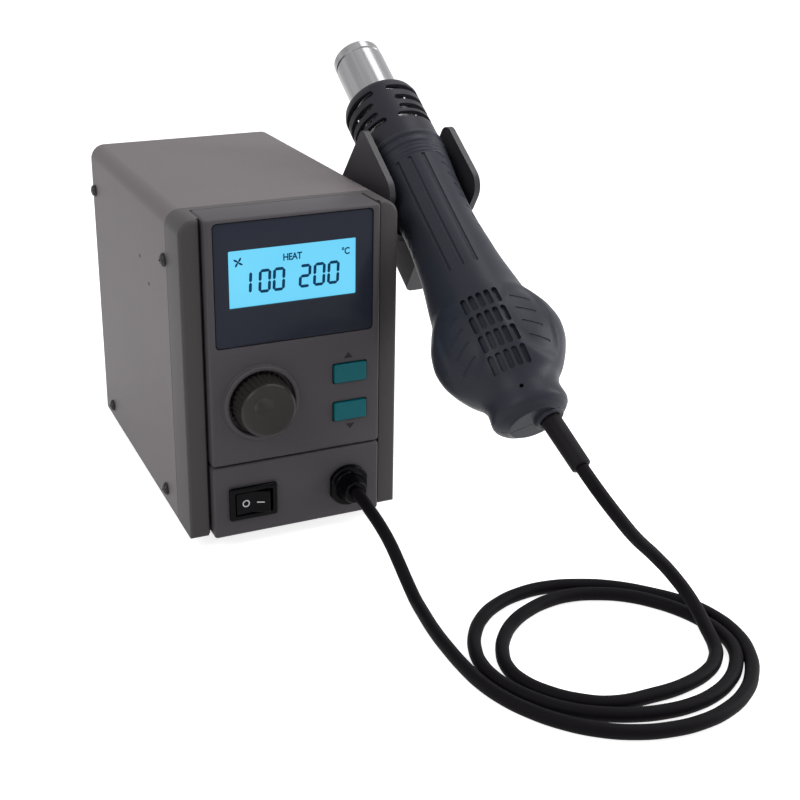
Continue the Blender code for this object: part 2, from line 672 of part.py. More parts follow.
def build_inlet(case, chassis):
    """The mains inlet in the rear panel, and the panel's two rows of air slots."""
    rear = make_empty("rear", case, (0, CASE_DEPTH - REAR_INSET, 0), REARWAYS)
    width = INLET_WIDTH / 2
    height = INLET_HEIGHT / 2
    x = -INLET_X
    z = INLET_Z
    rim_x = width + INLET_RIM
    rim_z = height + INLET_RIM
    outline = rounded(x - rim_x, x + rim_x, z - rim_z, z + rim_z, INLET_RIM)
    inlet = make_part("mains_inlet", prism(outline, GAP, INLET_PROUD, bevel=2 * GAP), "switch_black", rear)
    body = block(x - width, x + width, z - height, z + height, -INLET_DEPTH, SHEET)
    join(inlet, make_cutter("inlet_body", body, rear))
    inner_x = width - INLET_WALL
    inner_z = height - INLET_WALL
    outline = rounded(x - inner_x, x + inner_x, z - inner_z, z + inner_z, INLET_RIM)
    cut(inlet, make_cutter("inlet_socket", prism(outline, -SOCKET_DEPTH, BEYOND), rear))
    pin_x = PIN_WIDTH / 2
    pin_z = PIN_HEIGHT / 2
    root = -SOCKET_DEPTH - SHEET
    pins = [
        block(x + dx - pin_x, x + dx + pin_x, z + dz - pin_z, z + dz + pin_z, root, PIN_LENGTH - SOCKET_DEPTH)
        for dx, dz in ((-PIN_SPREAD, -PIN_STAGGER), (0, PIN_STAGGER), (PIN_SPREAD, -PIN_STAGGER))
    ]
    join(inlet, make_cutter("inlet_pins", gather(pins), rear))
    hole_x = width + GAP
    hole_z = height + GAP
    hole = block(x - hole_x, x + hole_x, z - hole_z, z + hole_z, -BEYOND, BEYOND)
    cut(chassis, make_cutter("inlet_hole", hole, rear))
    slots = []
    half = AIR_SLOT_WIDTH / 2
    for row in range(AIR_SLOT_ROWS):
        top = CASE_HEIGHT - AIR_SLOT_DROP - row * AIR_SLOT_STEP
        for column in range(AIR_SLOT_COLUMNS):
            middle = (column - (AIR_SLOT_COLUMNS - 1) / 2) * AIR_SLOT_PITCH
            outline = rounded(middle - half, middle + half, top - AIR_SLOT_LENGTH, top, 0.95 * half, steps=1)
            slots.append(prism(outline, -BEYOND, BEYOND))
    cut(chassis, make_cutter("rear_slots", gather(slots), rear))


def build_power(case, chassis, inside, rear_inner):
    """The power board on its four posts, with the transformer and the heat sink."""
    side = inside - POWER_BOARD_SIDE
    front = FRAME_BACK + POWER_BOARD_FRONT
    back = rear_inner - POWER_BOARD_REAR
    posts = [
        rod(BOARD_POST_RADIUS, SHEET / 2, POWER_BOARD_LIFT, 8, (x, y))
        for x in (BOARD_POST_INSET - side, side - BOARD_POST_INSET)
        for y in (front + BOARD_POST_INSET, back - BOARD_POST_INSET)
    ]
    join(chassis, make_cutter("board_posts", gather(posts), case))
    bottom = POWER_BOARD_LIFT + GAP
    top = bottom + BOARD_THICK
    make_part("power_board", block(-side, side, front, back, bottom, top), "circuit_board", case)

    seat = top + GAP
    left = CORE_X - CORE_WIDTH / 2
    right = CORE_X + CORE_WIDTH / 2
    near = front + CORE_Y - CORE_DEPTH / 2
    far = front + CORE_Y + CORE_DEPTH / 2
    window_low = seat + CORE_YOKE
    window_high = seat + CORE_HEIGHT - CORE_YOKE
    stack = block(left, right, near, far, seat, seat + CORE_HEIGHT)
    core = make_part("transformer_core", stack, "bare_steel", case)
    window = block(left + CORE_LEG, right - CORE_LEG, near - BEYOND, far + BEYOND, window_low, window_high)
    cut(core, make_cutter("core_window", window, case))
    winding = rounded(left + CORE_LEG + GAP, right - CORE_LEG - GAP, window_low + GAP, window_high - GAP,
                      CORE_LEG / 2)
    coil = prism(winding, -far - COIL_OVERHANG, -near + COIL_OVERHANG)
    make_part("transformer_coil", coil, "ceramic", case, rotation=FRONTWAYS)

    near = front + CORE_Y - SINK_DEPTH / 2
    sink_x = side - SINK_INSET
    plate = block(sink_x, sink_x + SINK_PLATE, near, near + SINK_DEPTH, seat, seat + SINK_HEIGHT)
    sink = make_part("heat_sink", plate, "aluminium", case)
    inner = sink_x + SINK_PLATE / 2
    outer = sink_x + SINK_PLATE + SINK_FIN_LENGTH
    pitch = (SINK_DEPTH - 2 * SINK_FIN) / (SINK_FINS - 1)
    ribs = []
    for number in range(SINK_FINS):
        start = near + SINK_FIN / 2 + number * pitch
        ribs.append(block(inner, outer, start, start + SINK_FIN, seat + SHEET, seat + SINK_HEIGHT - SHEET))
    join(sink, make_cutter("heat_sink_fins", gather(ribs), case))


def build_front(front):
    """The moulded frame with its two trims, and the panels it holds."""
    half = CASE_WIDTH / 2
    outline = rounded(-half, half, 0, CASE_HEIGHT, CORNER_RADIUS, SPIGOT_WALL, steps=5)
    frame = make_part("front_frame", prism(outline, -FRAME_BACK, -TRIM_SETBACK, bevel=FRAME_BEVEL),
                      "trim_moulding", front)
    groove = CENTRE_HALF + GROOVE_WIDTH
    channel = CENTRE_HALF + GAP
    top = CASE_HEIGHT + BEYOND
    grooves = block(-groove, groove, -BEYOND, top, -TRIM_SETBACK - GROOVE_DEPTH, BEYOND)
    bay = block(-channel, channel, -BEYOND, top, -PANEL_BACK - GAP, BEYOND)
    cut(frame, make_cutter("trim_groove", grooves, front), make_cutter("panel_channel", bay, front))
    opening = CENTRE_HALF - PANEL_WALL
    outline = rounded(-opening, opening, FRAME_RIM, CASE_HEIGHT - FRAME_RIM, PANEL_WALL)
    openings = [prism(outline, -FRAME_BACK - BEYOND, BEYOND)]
    for side in (-1, 1):
        ends = sorted((side * (groove + SHEET), side * (half - TRIM_WALL)))
        openings.append(block(*ends, FRAME_RIM, CASE_HEIGHT - CORNER_RADIUS, -FRAME_BACK - BEYOND,
                              -TRIM_SETBACK - PANEL_WALL))
    cut(frame, make_cutter("frame_openings", gather(openings), front))
    inset = SHEET + GAP
    inner = inset + SPIGOT_WALL
    outline = rounded(-half + inset, half - inset, inset, CASE_HEIGHT - inset, CORNER_RADIUS - inset,
                      SPIGOT_WALL)
    hole = rounded(-half + inner, half - inner, inner, CASE_HEIGHT - inner, CORNER_RADIUS - inner, SHEET)
    ring = prism(outline, -FRAME_BACK - SPIGOT_LENGTH, -FRAME_BACK + SPIGOT_WALL, holes=[hole])
    join(frame, make_cutter("frame_spigot", ring, front))
    bore = rod(SCREW_SHANK_RADIUS + GAP, -half - BEYOND, half + BEYOND, 12, COVER_SCREWS[1])
    cut(frame, make_cutter("spigot_bores", bore, front.parent, rotation=SIDEWAYS))
    build_control_panel(front)
    build_lower_panel(front)


def build_control_panel(front):
    """The upper panel with the display, and the holes for the knob and the buttons."""
    outline = rounded(-CENTRE_HALF, CENTRE_HALF, PANEL_SEAM + GAP, CASE_HEIGHT, PANEL_CORNER, steps=1)
    plate = prism(outline, -PANEL_BACK, 0, bevel=PANEL_BEVEL)
    panel = make_part("control_panel", plate, "front_moulding", front)
    collar = prism(circle(COLLAR_RADIUS, 28, (KNOB_X, KNOB_Z)), -SHEET, COLLAR_HEIGHT, bevel=0.0008)
    join(panel, make_cutter("knob_collar", collar, front))
    wall = PANEL_SIDE_WALL
    hollow = block(-CENTRE_HALF + wall, CENTRE_HALF - wall, PANEL_SEAM + wall, CASE_HEIGHT - wall,
                   -PANEL_BACK - BEYOND, -PANEL_WALL)
    recess_floor = -DISPLAY_RECESS - DISPLAY_THICK - GAP
    outline = rounded(DISPLAY_LEFT - GAP, DISPLAY_RIGHT + GAP, DISPLAY_LOW - GAP, DISPLAY_HIGH + GAP,
                      DISPLAY_CORNER)
    recess = prism(outline, recess_floor, BEYOND)
    cut(panel, make_cutter("panel_hollow", hollow, front), make_cutter("display_recess", recess, front))
    lcd_back = recess_floor - LCD_DEPTH
    lcd_x = (WINDOW_LEFT - LCD_MARGIN, WINDOW_RIGHT + LCD_MARGIN)
    lcd_z = (WINDOW_LOW - LCD_MARGIN, WINDOW_HIGH + LCD_MARGIN)
    pocket = prism(circle(COLLAR_RADIUS - COLLAR_WALL, 28, (KNOB_X, KNOB_Z)), -KNOB_POCKET, BEYOND)
    cut(panel, make_cutter("knob_pocket", pocket, front))
    deep = -2 * PANEL_WALL
    holes = [
        block(lcd_x[0] - GAP, lcd_x[1] + GAP, lcd_z[0] - GAP, lcd_z[1] + GAP, deep, BEYOND),
        rod(SHAFT_RADIUS + BUSH_WALL + 2 * GAP, deep, BEYOND, 20, (KNOB_X, KNOB_Z)),
    ]
    hole_x = BUTTON_WIDTH / 2 + GAP
    hole_z = BUTTON_HEIGHT / 2 + GAP
    for z in (BUTTON_UP_Z, BUTTON_DOWN_Z):
        outline = rounded(BUTTON_X - hole_x, BUTTON_X + hole_x, z - hole_z, z + hole_z, 0.0008, steps=2)
        holes.append(prism(outline, deep, BEYOND))
    cut(panel, make_cutter("panel_holes", gather(holes), front))
    post_x = CENTRE_HALF - POST_INSET
    board_front = lcd_back - GAP
    posts = [rod(0.0025, board_front + GAP, SHEET - PANEL_WALL, 10, (x, z))
             for x in (-post_x, post_x) for z in (PANEL_SEAM + POST_INSET, CASE_HEIGHT - FRAME_RIM)]
    join(panel, make_cutter("panel_posts", gather(posts), front))

    window = rounded(WINDOW_LEFT, WINDOW_RIGHT, WINDOW_LOW, WINDOW_HIGH, 0.0005, steps=1)
    outline = rounded(DISPLAY_LEFT, DISPLAY_RIGHT, DISPLAY_LOW, DISPLAY_HIGH, DISPLAY_CORNER)
    bezel = prism(outline, -DISPLAY_RECESS - DISPLAY_THICK, -DISPLAY_RECESS, holes=[window])
    make_part("display_bezel", bezel, "display_panel", front)
    make_part("lcd_module", block(*lcd_x, *lcd_z, lcd_back, recess_floor), "lit_display", front)
    board_x = CENTRE_HALF - PANEL_WALL - SHEET
    board = block(-board_x, board_x, PANEL_SEAM + PANEL_WALL + SHEET, CASE_HEIGHT - PANEL_WALL - GAP,
                  board_front - BOARD_THICK, board_front)
    make_part("control_board", board, "circuit_board", front)
    build_knob(front, board_front)
    for name, z in (("up", BUTTON_UP_Z), ("down", BUTTON_DOWN_Z)):
        build_button(front, name, z, board_front)


def build_knob(front, board_front):
    """The knob on its shaft, and the turning sensor on the board behind it."""
    spindle = make_empty("knob_axis", front, (KNOB_X, KNOB_Z, 0))
    bottom = -KNOB_POCKET + 2 * GAP
    edge = 0.0012
    shoulder = KNOB_FRONT - edge
    rings = ((bottom, KNOB_BASE_RADIUS), (shoulder - edge, KNOB_FACE_RADIUS + edge),
             (shoulder, KNOB_FACE_RADIUS + edge / 2), (KNOB_FRONT, KNOB_FACE_RADIUS))
    bm = bmesh.new()
    loops = []
    count = 2 * KNOB_RIBS
    for number, (z, radius) in enumerate(rings):
        verts = []
        for i in range(count):
            size = radius - RIB_DEPTH if i % 2 and number < 2 else radius
            angle = 2 * math.pi * i / count
            verts.append(bm.verts.new((size * math.cos(angle), size * math.sin(angle), z)))
        loops.append([bm.edges.new((verts[i - 1], verts[i])) for i in range(count)])
    for lower, upper in zip(loops, loops[1:]):
        bmesh.ops.bridge_loops(bm, edges=lower + upper)
    for loop in (loops[0], loops[-1]):
        bmesh.ops.contextual_create(bm, geom=loop)
    knob = make_part("knob", bm, "knob_black", spindle)
    shaft_end = KNOB_FRONT - PANEL_WALL
    cut(knob, make_cutter("knob_bore", rod(SHAFT_RADIUS + GAP, -BEYOND, shaft_end + GAP, 20), spindle))
    dimple = bmesh.new()
    bmesh.ops.create_uvsphere(dimple, u_segments=16, v_segments=12, radius=DIMPLE_RADIUS)
    cut(knob, make_cutter("finger_dimple", dimple, spindle, DIMPLE_PLACE))
    sensor_front = -PANEL_WALL - GAP
    body_x = 2 * SHAFT_RADIUS
    body_z = body_x + 0.0005
    body = block(-body_x, body_x, -body_z, body_z, board_front + GAP, sensor_front)
    sensor = make_part("knob_sensor", body, "bare_steel", spindle)
    bush = rod(SHAFT_RADIUS + BUSH_WALL + GAP, sensor_front - SHEET, -KNOB_POCKET, 16)
    join(sensor, make_cutter("sensor_bush", bush, spindle))
    bore_end = board_front + SHEET
    cut(sensor, make_cutter("sensor_bore", rod(SHAFT_RADIUS + GAP, bore_end, BEYOND, 20), spindle))
    make_part("knob_shaft", rod(SHAFT_RADIUS, bore_end + GAP, shaft_end, 20), "bare_steel", spindle)


def build_button(front, name, height, board_front):
    """A push button with a lip behind the panel, and the small switch that it presses."""
    centre = make_empty("button_" + name + "_place", front, (BUTTON_X, height, 0))
    wide = BUTTON_WIDTH / 2
    high = BUTTON_HEIGHT / 2
    rear = PLUNGER_TOP + BUTTON_TRAVEL + GAP
    outline = rounded(-wide, wide, -high, high, 0.0006, steps=2)
    cap = prism(outline, rear, BUTTON_PROUD, bevel=0.0005)
    button = make_part("button_" + name, cap, "button_teal", centre)
    lip_x = wide + BUTTON_LIP
    lip_z = high + BUTTON_LIP
    lip = block(-lip_x, lip_x, -lip_z, lip_z, -PANEL_WALL - GAP - BUTTON_LIP, -PANEL_WALL - GAP)
    join(button, make_cutter("button_lip_" + name, lip, centre))
    half = 0.003
    body = block(-half, half, -half, half, board_front + GAP, PLUNGER_TOP - 0.001)
    switch = make_part("tact_switch_" + name, body, "switch_black", centre)
    plunger = rod(0.0017, PLUNGER_TOP - 0.0015, PLUNGER_TOP, 12)
    join(switch, make_cutter("plunger_" + name, plunger, centre))


def build_lower_panel(front):
    """The lower panel with the rocker switch and the cord gland."""
    top = PANEL_SEAM - GAP
    outline = rounded(-CENTRE_HALF, CENTRE_HALF, 0, top, PANEL_CORNER, steps=1)
    plate = prism(outline, -PANEL_BACK, 0, bevel=PANEL_BEVEL)
    panel = make_part("lower_panel", plate, "front_moulding", front)
    wall = PANEL_SIDE_WALL
    inner = CENTRE_HALF - wall
    hollow = block(-inner, inner, wall, top - wall, -PANEL_BACK - BEYOND, -PANEL_WALL)
    body_x = BEZEL_WIDTH / 2 - BEZEL_LIP
    body_z = BEZEL_HEIGHT / 2 - BEZEL_LIP
    hole_x = body_x + GAP
    hole_z = body_z + GAP
    deep = -2 * PANEL_WALL
    holes = [
        block(ROCKER_X - hole_x, ROCKER_X + hole_x, ROCKER_Z - hole_z, ROCKER_Z + hole_z, deep, BEYOND),
        rod(GLAND_NECK + GAP, deep, BEYOND, 24, (GLAND_X, GLAND_Z)),
    ]
    cut(panel, make_cutter("lower_hollow", hollow, front), make_cutter("lower_holes", gather(holes), front))

    pivot = make_empty("rocker_axis", front, (ROCKER_X, ROCKER_Z, ROCKER_PIVOT))
    centre = make_empty("switch_place", front, (ROCKER_X, ROCKER_Z, 0))
    outline = rounded(-BEZEL_WIDTH / 2, BEZEL_WIDTH / 2, -BEZEL_HEIGHT / 2, BEZEL_HEIGHT / 2, 0.001, steps=2)
    bezel = prism(outline, GAP, BEZEL_PROUD + GAP, bevel=0.0008)
    housing = make_part("switch_housing", bezel, "switch_black", centre)
    body = block(-body_x, body_x, -body_z, body_z, -SWITCH_DEPTH, 2 * GAP)
    join(housing, make_cutter("switch_body", body, centre))
    reach = ROCKER_HALF + 0.001
    well_z = ROCKER_HEIGHT / 2 + GAP
    well = block(-reach, reach, -well_z, well_z, -0.0095, BEYOND)
    cut(housing, make_cutter("switch_well", well, centre))
    face = (
        (-ROCKER_HALF, 0.0046), (0, 0.0031), (ROCKER_HALF, 0.0046), (ROCKER_HALF, -0.0005),
        (0.0035, -0.005), (-0.0035, -0.005), (-ROCKER_HALF, -0.0005),
    )
    bm = turn_about("X", 90, prism(face, -ROCKER_HEIGHT / 2, ROCKER_HEIGHT / 2))
    turn_about("Y", math.degrees(-ROCKER_TILT), bm)
    make_part("power_rocker", bm, "switch_black", pivot)

    socket = make_empty("gland_place", front, (GLAND_X, GLAND_Z, 0))
    spread = math.acos(GLAND_FLAT / GLAND_RADIUS)
    plate = arc((0, 0), GLAND_RADIUS, GLAND_RADIUS, spread, math.pi - spread, 8)
    plate += [(-u, -v) for u, v in plate]
    gland = make_part("cord_gland", prism(plate, GAP, GLAND_PLATE, bevel=0.0008), "switch_black", socket)
    boss = bmesh.new()
    bmesh.ops.create_cone(boss, cap_ends=True, segments=24, radius1=GLAND_TAPER[0], radius2=GLAND_TAPER[1],
                          depth=GLAND_LENGTH - SHEET)
    bmesh.ops.translate(boss, verts=boss.verts, vec=(0, 0, (GLAND_LENGTH + SHEET) / 2))
    nut_front = -PANEL_WALL - GAP
    nut_back = nut_front - NUT_THICK
    neck = rod(GLAND_NECK, 2 * nut_back, GLAND_PLATE - SHEET, 24)
    join(gland, make_cutter("gland_boss", boss, socket), make_cutter("gland_neck", neck, socket))
    cut(gland, make_cutter("gland_bore", rod(CORD_RADIUS + GAP, 3 * nut_back, 2 * GLAND_LENGTH, 16), socket))
    nut = prism(circle(GLAND_NECK + NUT_WIDTH, 6), nut_back, nut_front, holes=[circle(GLAND_NECK + GAP, 24)])
    make_part("gland_nut", nut, "switch_black", socket)


def round_corners(bm, places, radius):
    """Round the edges of a plate that run along X at the given (Y, Z) corners."""
    corners = [e for e in bm.edges if abs(e.verts[0].co.y - e.verts[1].co.y) < GAP
               and abs(e.verts[0].co.z - e.verts[1].co.z) < GAP
               and any(abs(e.verts[0].co.y - y) < GAP and abs(e.verts[0].co.z - z) < GAP
                       and side * e.verts[0].co.x > 0 for side, y, z in places)]
    bmesh.ops.bevel(bm, geom=corners, offset=radius, segments=4, profile=0.5, affect="EDGES",
                    clamp_overlap=False, material=-1)


def build_holder(cradle):
    """The saddle that the handset lies in, screwed to the side of the case."""
    outer = HOLDER_INNER + HOLDER_WALL
    floor = NECK_RADIUS + GAP
    section = arc((0, 0), outer, floor + HOLDER_WALL, 0, math.pi, 16)
    section += [(-outer, -HOLDER_RIM), (-HOLDER_INNER, -HOLDER_RIM)]
    section += arc((0, 0), HOLDER_INNER, floor, math.pi, 0, 16)
    section += [(HOLDER_INNER, -HOLDER_RIM), (outer, -HOLDER_RIM)]
    bm = prism(section, -HOLDER_END, -HOLDER_TOP)
    round_corners(bm, [(1, -HOLDER_RIM, -HOLDER_TOP)], HOLDER_EAR_RADIUS)
    round_corners(bm, [(-1, -HOLDER_RIM, -HOLDER_TOP)], HOLDER_TIP_RADIUS)
    round_corners(bm, [(side, -HOLDER_RIM, -HOLDER_END) for side in (-1, 1)], HOLDER_FOOT_RADIUS)
    holder = make_part("handset_holder", bm, "holder_grey", cradle)

    wall_end = HOLDER_SCREW_DROP + HOLDER_SCREW_MARGIN
    rise = HOLDER_WALL_SLOPE * (wall_end + HOLDER_RIM)
    start = HOLDER_TIP_RADIUS - HOLDER_RIM
    low = -HOLDER_SCREWS[1] - HOLDER_SCREW_MARGIN
    radius = HOLDER_FOOT_RADIUS
    wall = [(start, HOLDER_WALL_SLOPE * HOLDER_TIP_RADIUS - HOLDER_TOP), (start, radius - HOLDER_END)]
    wall += arc((wall_end - radius, low + radius), radius, radius, -math.pi / 2, 0, 4)
    wall.append((wall_end, rise - HOLDER_TOP))
    strap = prism(wall, -outer, -HOLDER_INNER)
    lug_top = CASE_WIDTH / 2 + GAP - AXIS_X
    lugs = [rod(LUG_RADIUS, lug_top, -outer + SHEET, 16, (HOLDER_SCREW_DROP, -s)) for s in HOLDER_SCREWS]
    bore = SCREW_SHANK_RADIUS + GAP
    bores = [rod(bore, lug_top - BEYOND, BEYOND - HOLDER_INNER, 12, (HOLDER_SCREW_DROP, -s))
             for s in HOLDER_SCREWS]
    join(holder, make_cutter("holder_strap", strap, cradle, rotation=SIDEWAYS),
         make_cutter("holder_lugs", gather(lugs), cradle, rotation=SIDEWAYS))
    cut(holder, make_cutter("holder_bores", gather(bores), cradle, rotation=SIDEWAYS))
    for number, s in enumerate(HOLDER_SCREWS, 1):
        spot = (GAP - HOLDER_INNER, HOLDER_SCREW_DROP, -s)
        add_screw("holder_screw_" + str(number), cradle, spot, TO_RIGHT, HOLDER_SCREW_LENGTH)

    lower = floor + 2 * GAP
    radius = CHANNEL_RADIUS
    side = CHANNEL_HALF - radius
    beam = [(CHANNEL_HALF, lower), (-CHANNEL_HALF, lower)]
    beam += arc((-side, CHANNEL_DROP - radius), radius, radius, math.pi, math.pi / 2, 4)
    beam += arc((side, CHANNEL_DROP - radius), radius, radius, math.pi / 2, 0, 4)
    channel = prism(beam, -CHANNEL_END, -CHANNEL_TOP)
    pocket_half = CHANNEL_HALF - CHANNEL_WALL
    pocket_top = lower + HOLDER_WALL
    pocket = block(-pocket_half, pocket_half, pocket_top, CHANNEL_DROP - CHANNEL_WALL,
                   -CHANNEL_END + CHANNEL_WALL, BEYOND)
    join(holder, make_cutter("holder_channel", channel, cradle))
    cut(holder, make_cutter("magnet_pocket", pocket, cradle))
    magnet_half = pocket_half - GAP
    magnet_low = pocket_top + GAP
    magnet = block(-magnet_half, magnet_half, magnet_low, magnet_low + MAGNET_THICK,
                   -MAGNET_PLACE - MAGNET_LENGTH / 2, -MAGNET_PLACE + MAGNET_LENGTH / 2)
    make_part("holder_magnet", magnet, "bare_steel", cradle)


def shell_point(s, angle, offset=0):
    """A point of the handset's skin; angle 0 is its right side and -90 degrees its front."""
    bulge = along(REAR_BULGES, s) * math.sin(2 * angle)
    wide = along(HALF_WIDTHS, s) + offset + (bulge if math.cos(angle) > 0 else -bulge)
    deep = along(HALF_DEPTHS, s) + offset
    return (wide * math.cos(angle), deep * math.sin(angle), -s)


def build_shell_half(handset, name, sign):
    """One moulded half of the handset, a lofted skin given its wall."""
    stations = [SHELL_TOP]
    for ring in RING_PLACES:
        stations += [ring - RING_HALF, ring, ring + RING_HALF]
    stations += [*SHELL_STATIONS, SHELL_END]
    bm = bmesh.new()
    loops = []
    for s in stations:
        offset = -RING_DEPTH if s in RING_PLACES else 0
        points = [shell_point(s, sign * math.pi * i / SHELL_SIDES, offset) for i in range(SHELL_SIDES + 1)]
        loops.append([bm.verts.new(point) for point in points])
    for above, below in zip(loops, loops[1:]):
        for i in range(SHELL_SIDES):
            bm.faces.new((above[i], above[i + 1], below[i + 1], below[i]))
    bm.faces.new(loops[-1])
    bmesh.ops.recalc_face_normals(bm, faces=bm.faces)
    bm.faces.ensure_lookup_table()
    if bm.faces[SHELL_SIDES // 2].normal.y * sign < 0:
        bmesh.ops.reverse_faces(bm, faces=bm.faces)
    mesh = bpy.data.meshes.new(name)
    bm.to_mesh(mesh)
    bm.free()
    mesh.shade_smooth()
    shell = bpy.data.objects.new(name, mesh)
    shell.data.materials.append(make_material(name, "handset_slate"))
    place(shell, parts, handset, (0, 0, 0), (0, 0, 0))
    solid = shell.modifiers.new("wall", "SOLIDIFY")
    solid.thickness = SHELL_WALL
    solid.offset = -1
    solid.use_even_offset = True
    wide = 2 * NECK_RADIUS
    seam = sorted((sign * GAP / 2, -sign * wide))
    split = block(-wide, wide, *seam, -SHELL_END - BEYOND, BEYOND)
    hole = rod(SLEEVE_RADIUS + GAP, -BEYOND, SLEEVE_PLUG, 20)
    exit_place = (SLEEVE_X, 0, -SHELL_END)
    cut(shell, make_cutter(name + "_split", split, handset),
        make_cutter(name + "_cord_hole", hole, handset, exit_place, (0, SLEEVE_LEAN, 0)))
    return shell


def tube_cutter(name, points, radius):
    """A round-nosed groove cutter along a run of points."""
    curve = bpy.data.curves.new(name, "CURVE")
    curve.dimensions = "3D"
    curve.bevel_depth = radius
    curve.bevel_resolution = 1
    curve.use_fill_caps = True
    spline = curve.splines.new("POLY")
    spline.points.add(len(points) - 1)
    for point, co in zip(spline.points, points):
        point.co = (*co, 1)
    guide = bpy.data.objects.new(name, curve)
    cutters.objects.link(guide)
    bpy.context.view_layer.update()
    mesh = bpy.data.meshes.new_from_object(guide.evaluated_get(bpy.context.evaluated_depsgraph_get()))
    bpy.data.objects.remove(guide)
    bm = bmesh.new()
    bm.from_mesh(mesh)
    bmesh.ops.remove_doubles(bm, verts=bm.verts, dist=0.00001)
    return bm


def build_handset(handset):
    """The two shells with their vents and grooves, and everything that they hold."""
    front_shell = build_shell_half(handset, "handset_shell_front", -1)
    build_shell_half(handset, "handset_shell_rear", 1)
    near = SHELL_WALL + MOTOR_RADIUS
    far = 2 * NECK_RADIUS
    half = VENT_WIDTH / 2
    slots = []
    for row in range(VENT_ROWS):
        top = VENT_TOP + row * VENT_STEP
        for column in range(VENT_COLUMNS):
            x = (column - (VENT_COLUMNS - 1) / 2) * VENT_PITCH
            slot = rounded(x - half, x + half, -top - VENT_LENGTH, -top, 0.95 * half, steps=1)
            slots.append(as_front(prism(slot, near, far)))
    hole = VENT_TOP + (VENT_ROWS - 1) * VENT_STEP + VENT_LENGTH + VENT_HOLE_DROP
    slots.append(as_front(rod(VENT_HOLE_RADIUS, near, far, 8, (0, -hole))))
    cut(front_shell, make_cutter("handset_vents", gather(slots), handset))
    lines = []
    steps = 5
    for x in LINE_PLACES:
        points = []
        for step in range(steps + 1):
            s = LINE_START + (LINE_END - LINE_START) * step / steps
            points.append(shell_point(s, -math.acos(x / along(HALF_WIDTHS, s))))
        lines.append(tube_cutter("line", points, LINE_RADIUS))
    cut(front_shell, make_cutter("handset_lines", gather(lines), handset))
    build_guard(handset)
    build_barrel(handset)
    build_fan(handset)

    reed_y = along(HALF_DEPTHS, REED_PLACE + REED_HALF) - SHELL_WALL - GAP - REED_RADIUS
    reed = rod(REED_RADIUS, -REED_PLACE - REED_HALF, -REED_PLACE + REED_HALF, 10, (0, reed_y))
    make_part("reed_switch", reed, "glass_tube", handset)

    profile = (
        (0, SLEEVE_PLUG), (SLEEVE_RADIUS, SLEEVE_PLUG), (SLEEVE_RADIUS, -SLEEVE_LENGTH + 0.001),
        (SLEEVE_RADIUS - 0.0007, -SLEEVE_LENGTH), (0, -SLEEVE_LENGTH),
    )
    turned("strain_relief", profile, "rubber_black", handset, (SLEEVE_X, 0, -SHELL_END), (0, SLEEVE_LEAN, 0),
           steps=20)


def build_guard(handset):
    """The slotted guard that keeps fingers off the hot barrel."""
    top = -GUARD_TOP
    low = GAP - SHELL_TOP
    rim = GUARD_RADIUS - GUARD_SHOULDER
    inner = GUARD_RADIUS - GUARD_WALL
    throat = BARREL_RADIUS + 0.0008
    profile = (
        (throat, top), (rim - GUARD_SHOULDER, top), (rim, top - GUARD_SHOULDER),
        (GUARD_RADIUS, top - GUARD_SHOULDER_LENGTH), (GUARD_RADIUS, low), (inner, low),
        (inner, top - 2 * GUARD_WALL), (throat, top - GUARD_WALL),
    )
    guard = turned("heat_guard", profile, "handset_slate", handset, steps=28, closed=True)
    rings = []
    outside = GUARD_RADIUS + GUARD_WALL
    inside = inner - GUARD_WALL
    for s, web in GUARD_SLOTS:
        start = math.asin(web / GUARD_RADIUS)
        for side in (-1, 1):
            sector = arc((0, 0), outside, outside, start, GUARD_SLOT_END, 5)
            sector += arc((0, 0), inside, inside, GUARD_SLOT_END, start, 5)
            outline = [(side * v, -u) for u, v in sector]
            ring = prism(outline, -s - GUARD_SLOT / 2, -s + GUARD_SLOT / 2)
            rings.append(turn_about("Z", GUARD_TURN, ring))
    cut(guard, make_cutter("guard_slots", gather(rings), handset))


def build_barrel(handset):
    """The steel barrel with the bead that its nozzles clamp on, and the heater inside."""
    tip = -BARREL_TIP
    bore = BARREL_RADIUS - BARREL_WALL
    flange = along(HALF_WIDTHS, SHELL_TOP + 0.002) - SHELL_WALL - GAP - 0.0008
    base = -SHELL_TOP - BARREL_BASE
    foot = base + BARREL_FLANGE
    lip = BARREL_RADIUS - BEAD_DEPTH
    bead_end = tip - BEAD_LENGTH
    profile = (
        (bore - 0.0004, tip), (lip + 0.0002, tip), (lip + 0.0006, tip - 0.0006), (lip + 0.0006, bead_end),
        (lip, bead_end - 0.0004), (BARREL_RADIUS, bead_end - 0.0012), (BARREL_RADIUS, foot), (flange, foot),
        (flange, base), (bore, base), (bore, bead_end - 0.0018), (bore - BEAD_DEPTH, bead_end - 0.0004),
        (bore - BEAD_DEPTH, tip - 0.0008),
    )
    turned("barrel", profile, "polished_steel", handset, steps=26, closed=True)
    heater_top = tip - HEATER_SETBACK
    heater = make_part("heater_core", rod(bore - GAP, HEATER_LOW, heater_top, 24), "ceramic", handset)
    holes = [rod(AIR_HOLE_RADIUS, heater_top - AIR_HOLE_DEPTH, tip, 8)]
    for number in range(6):
        angle = math.radians(60 * number)
        place_xy = (AIR_HOLE_RING * math.cos(angle), AIR_HOLE_RING * math.sin(angle))
        holes.append(rod(AIR_HOLE_RADIUS, heater_top - AIR_HOLE_DEPTH, tip, 8, place_xy))
    cut(heater, make_cutter("heater_holes", gather(holes), handset))


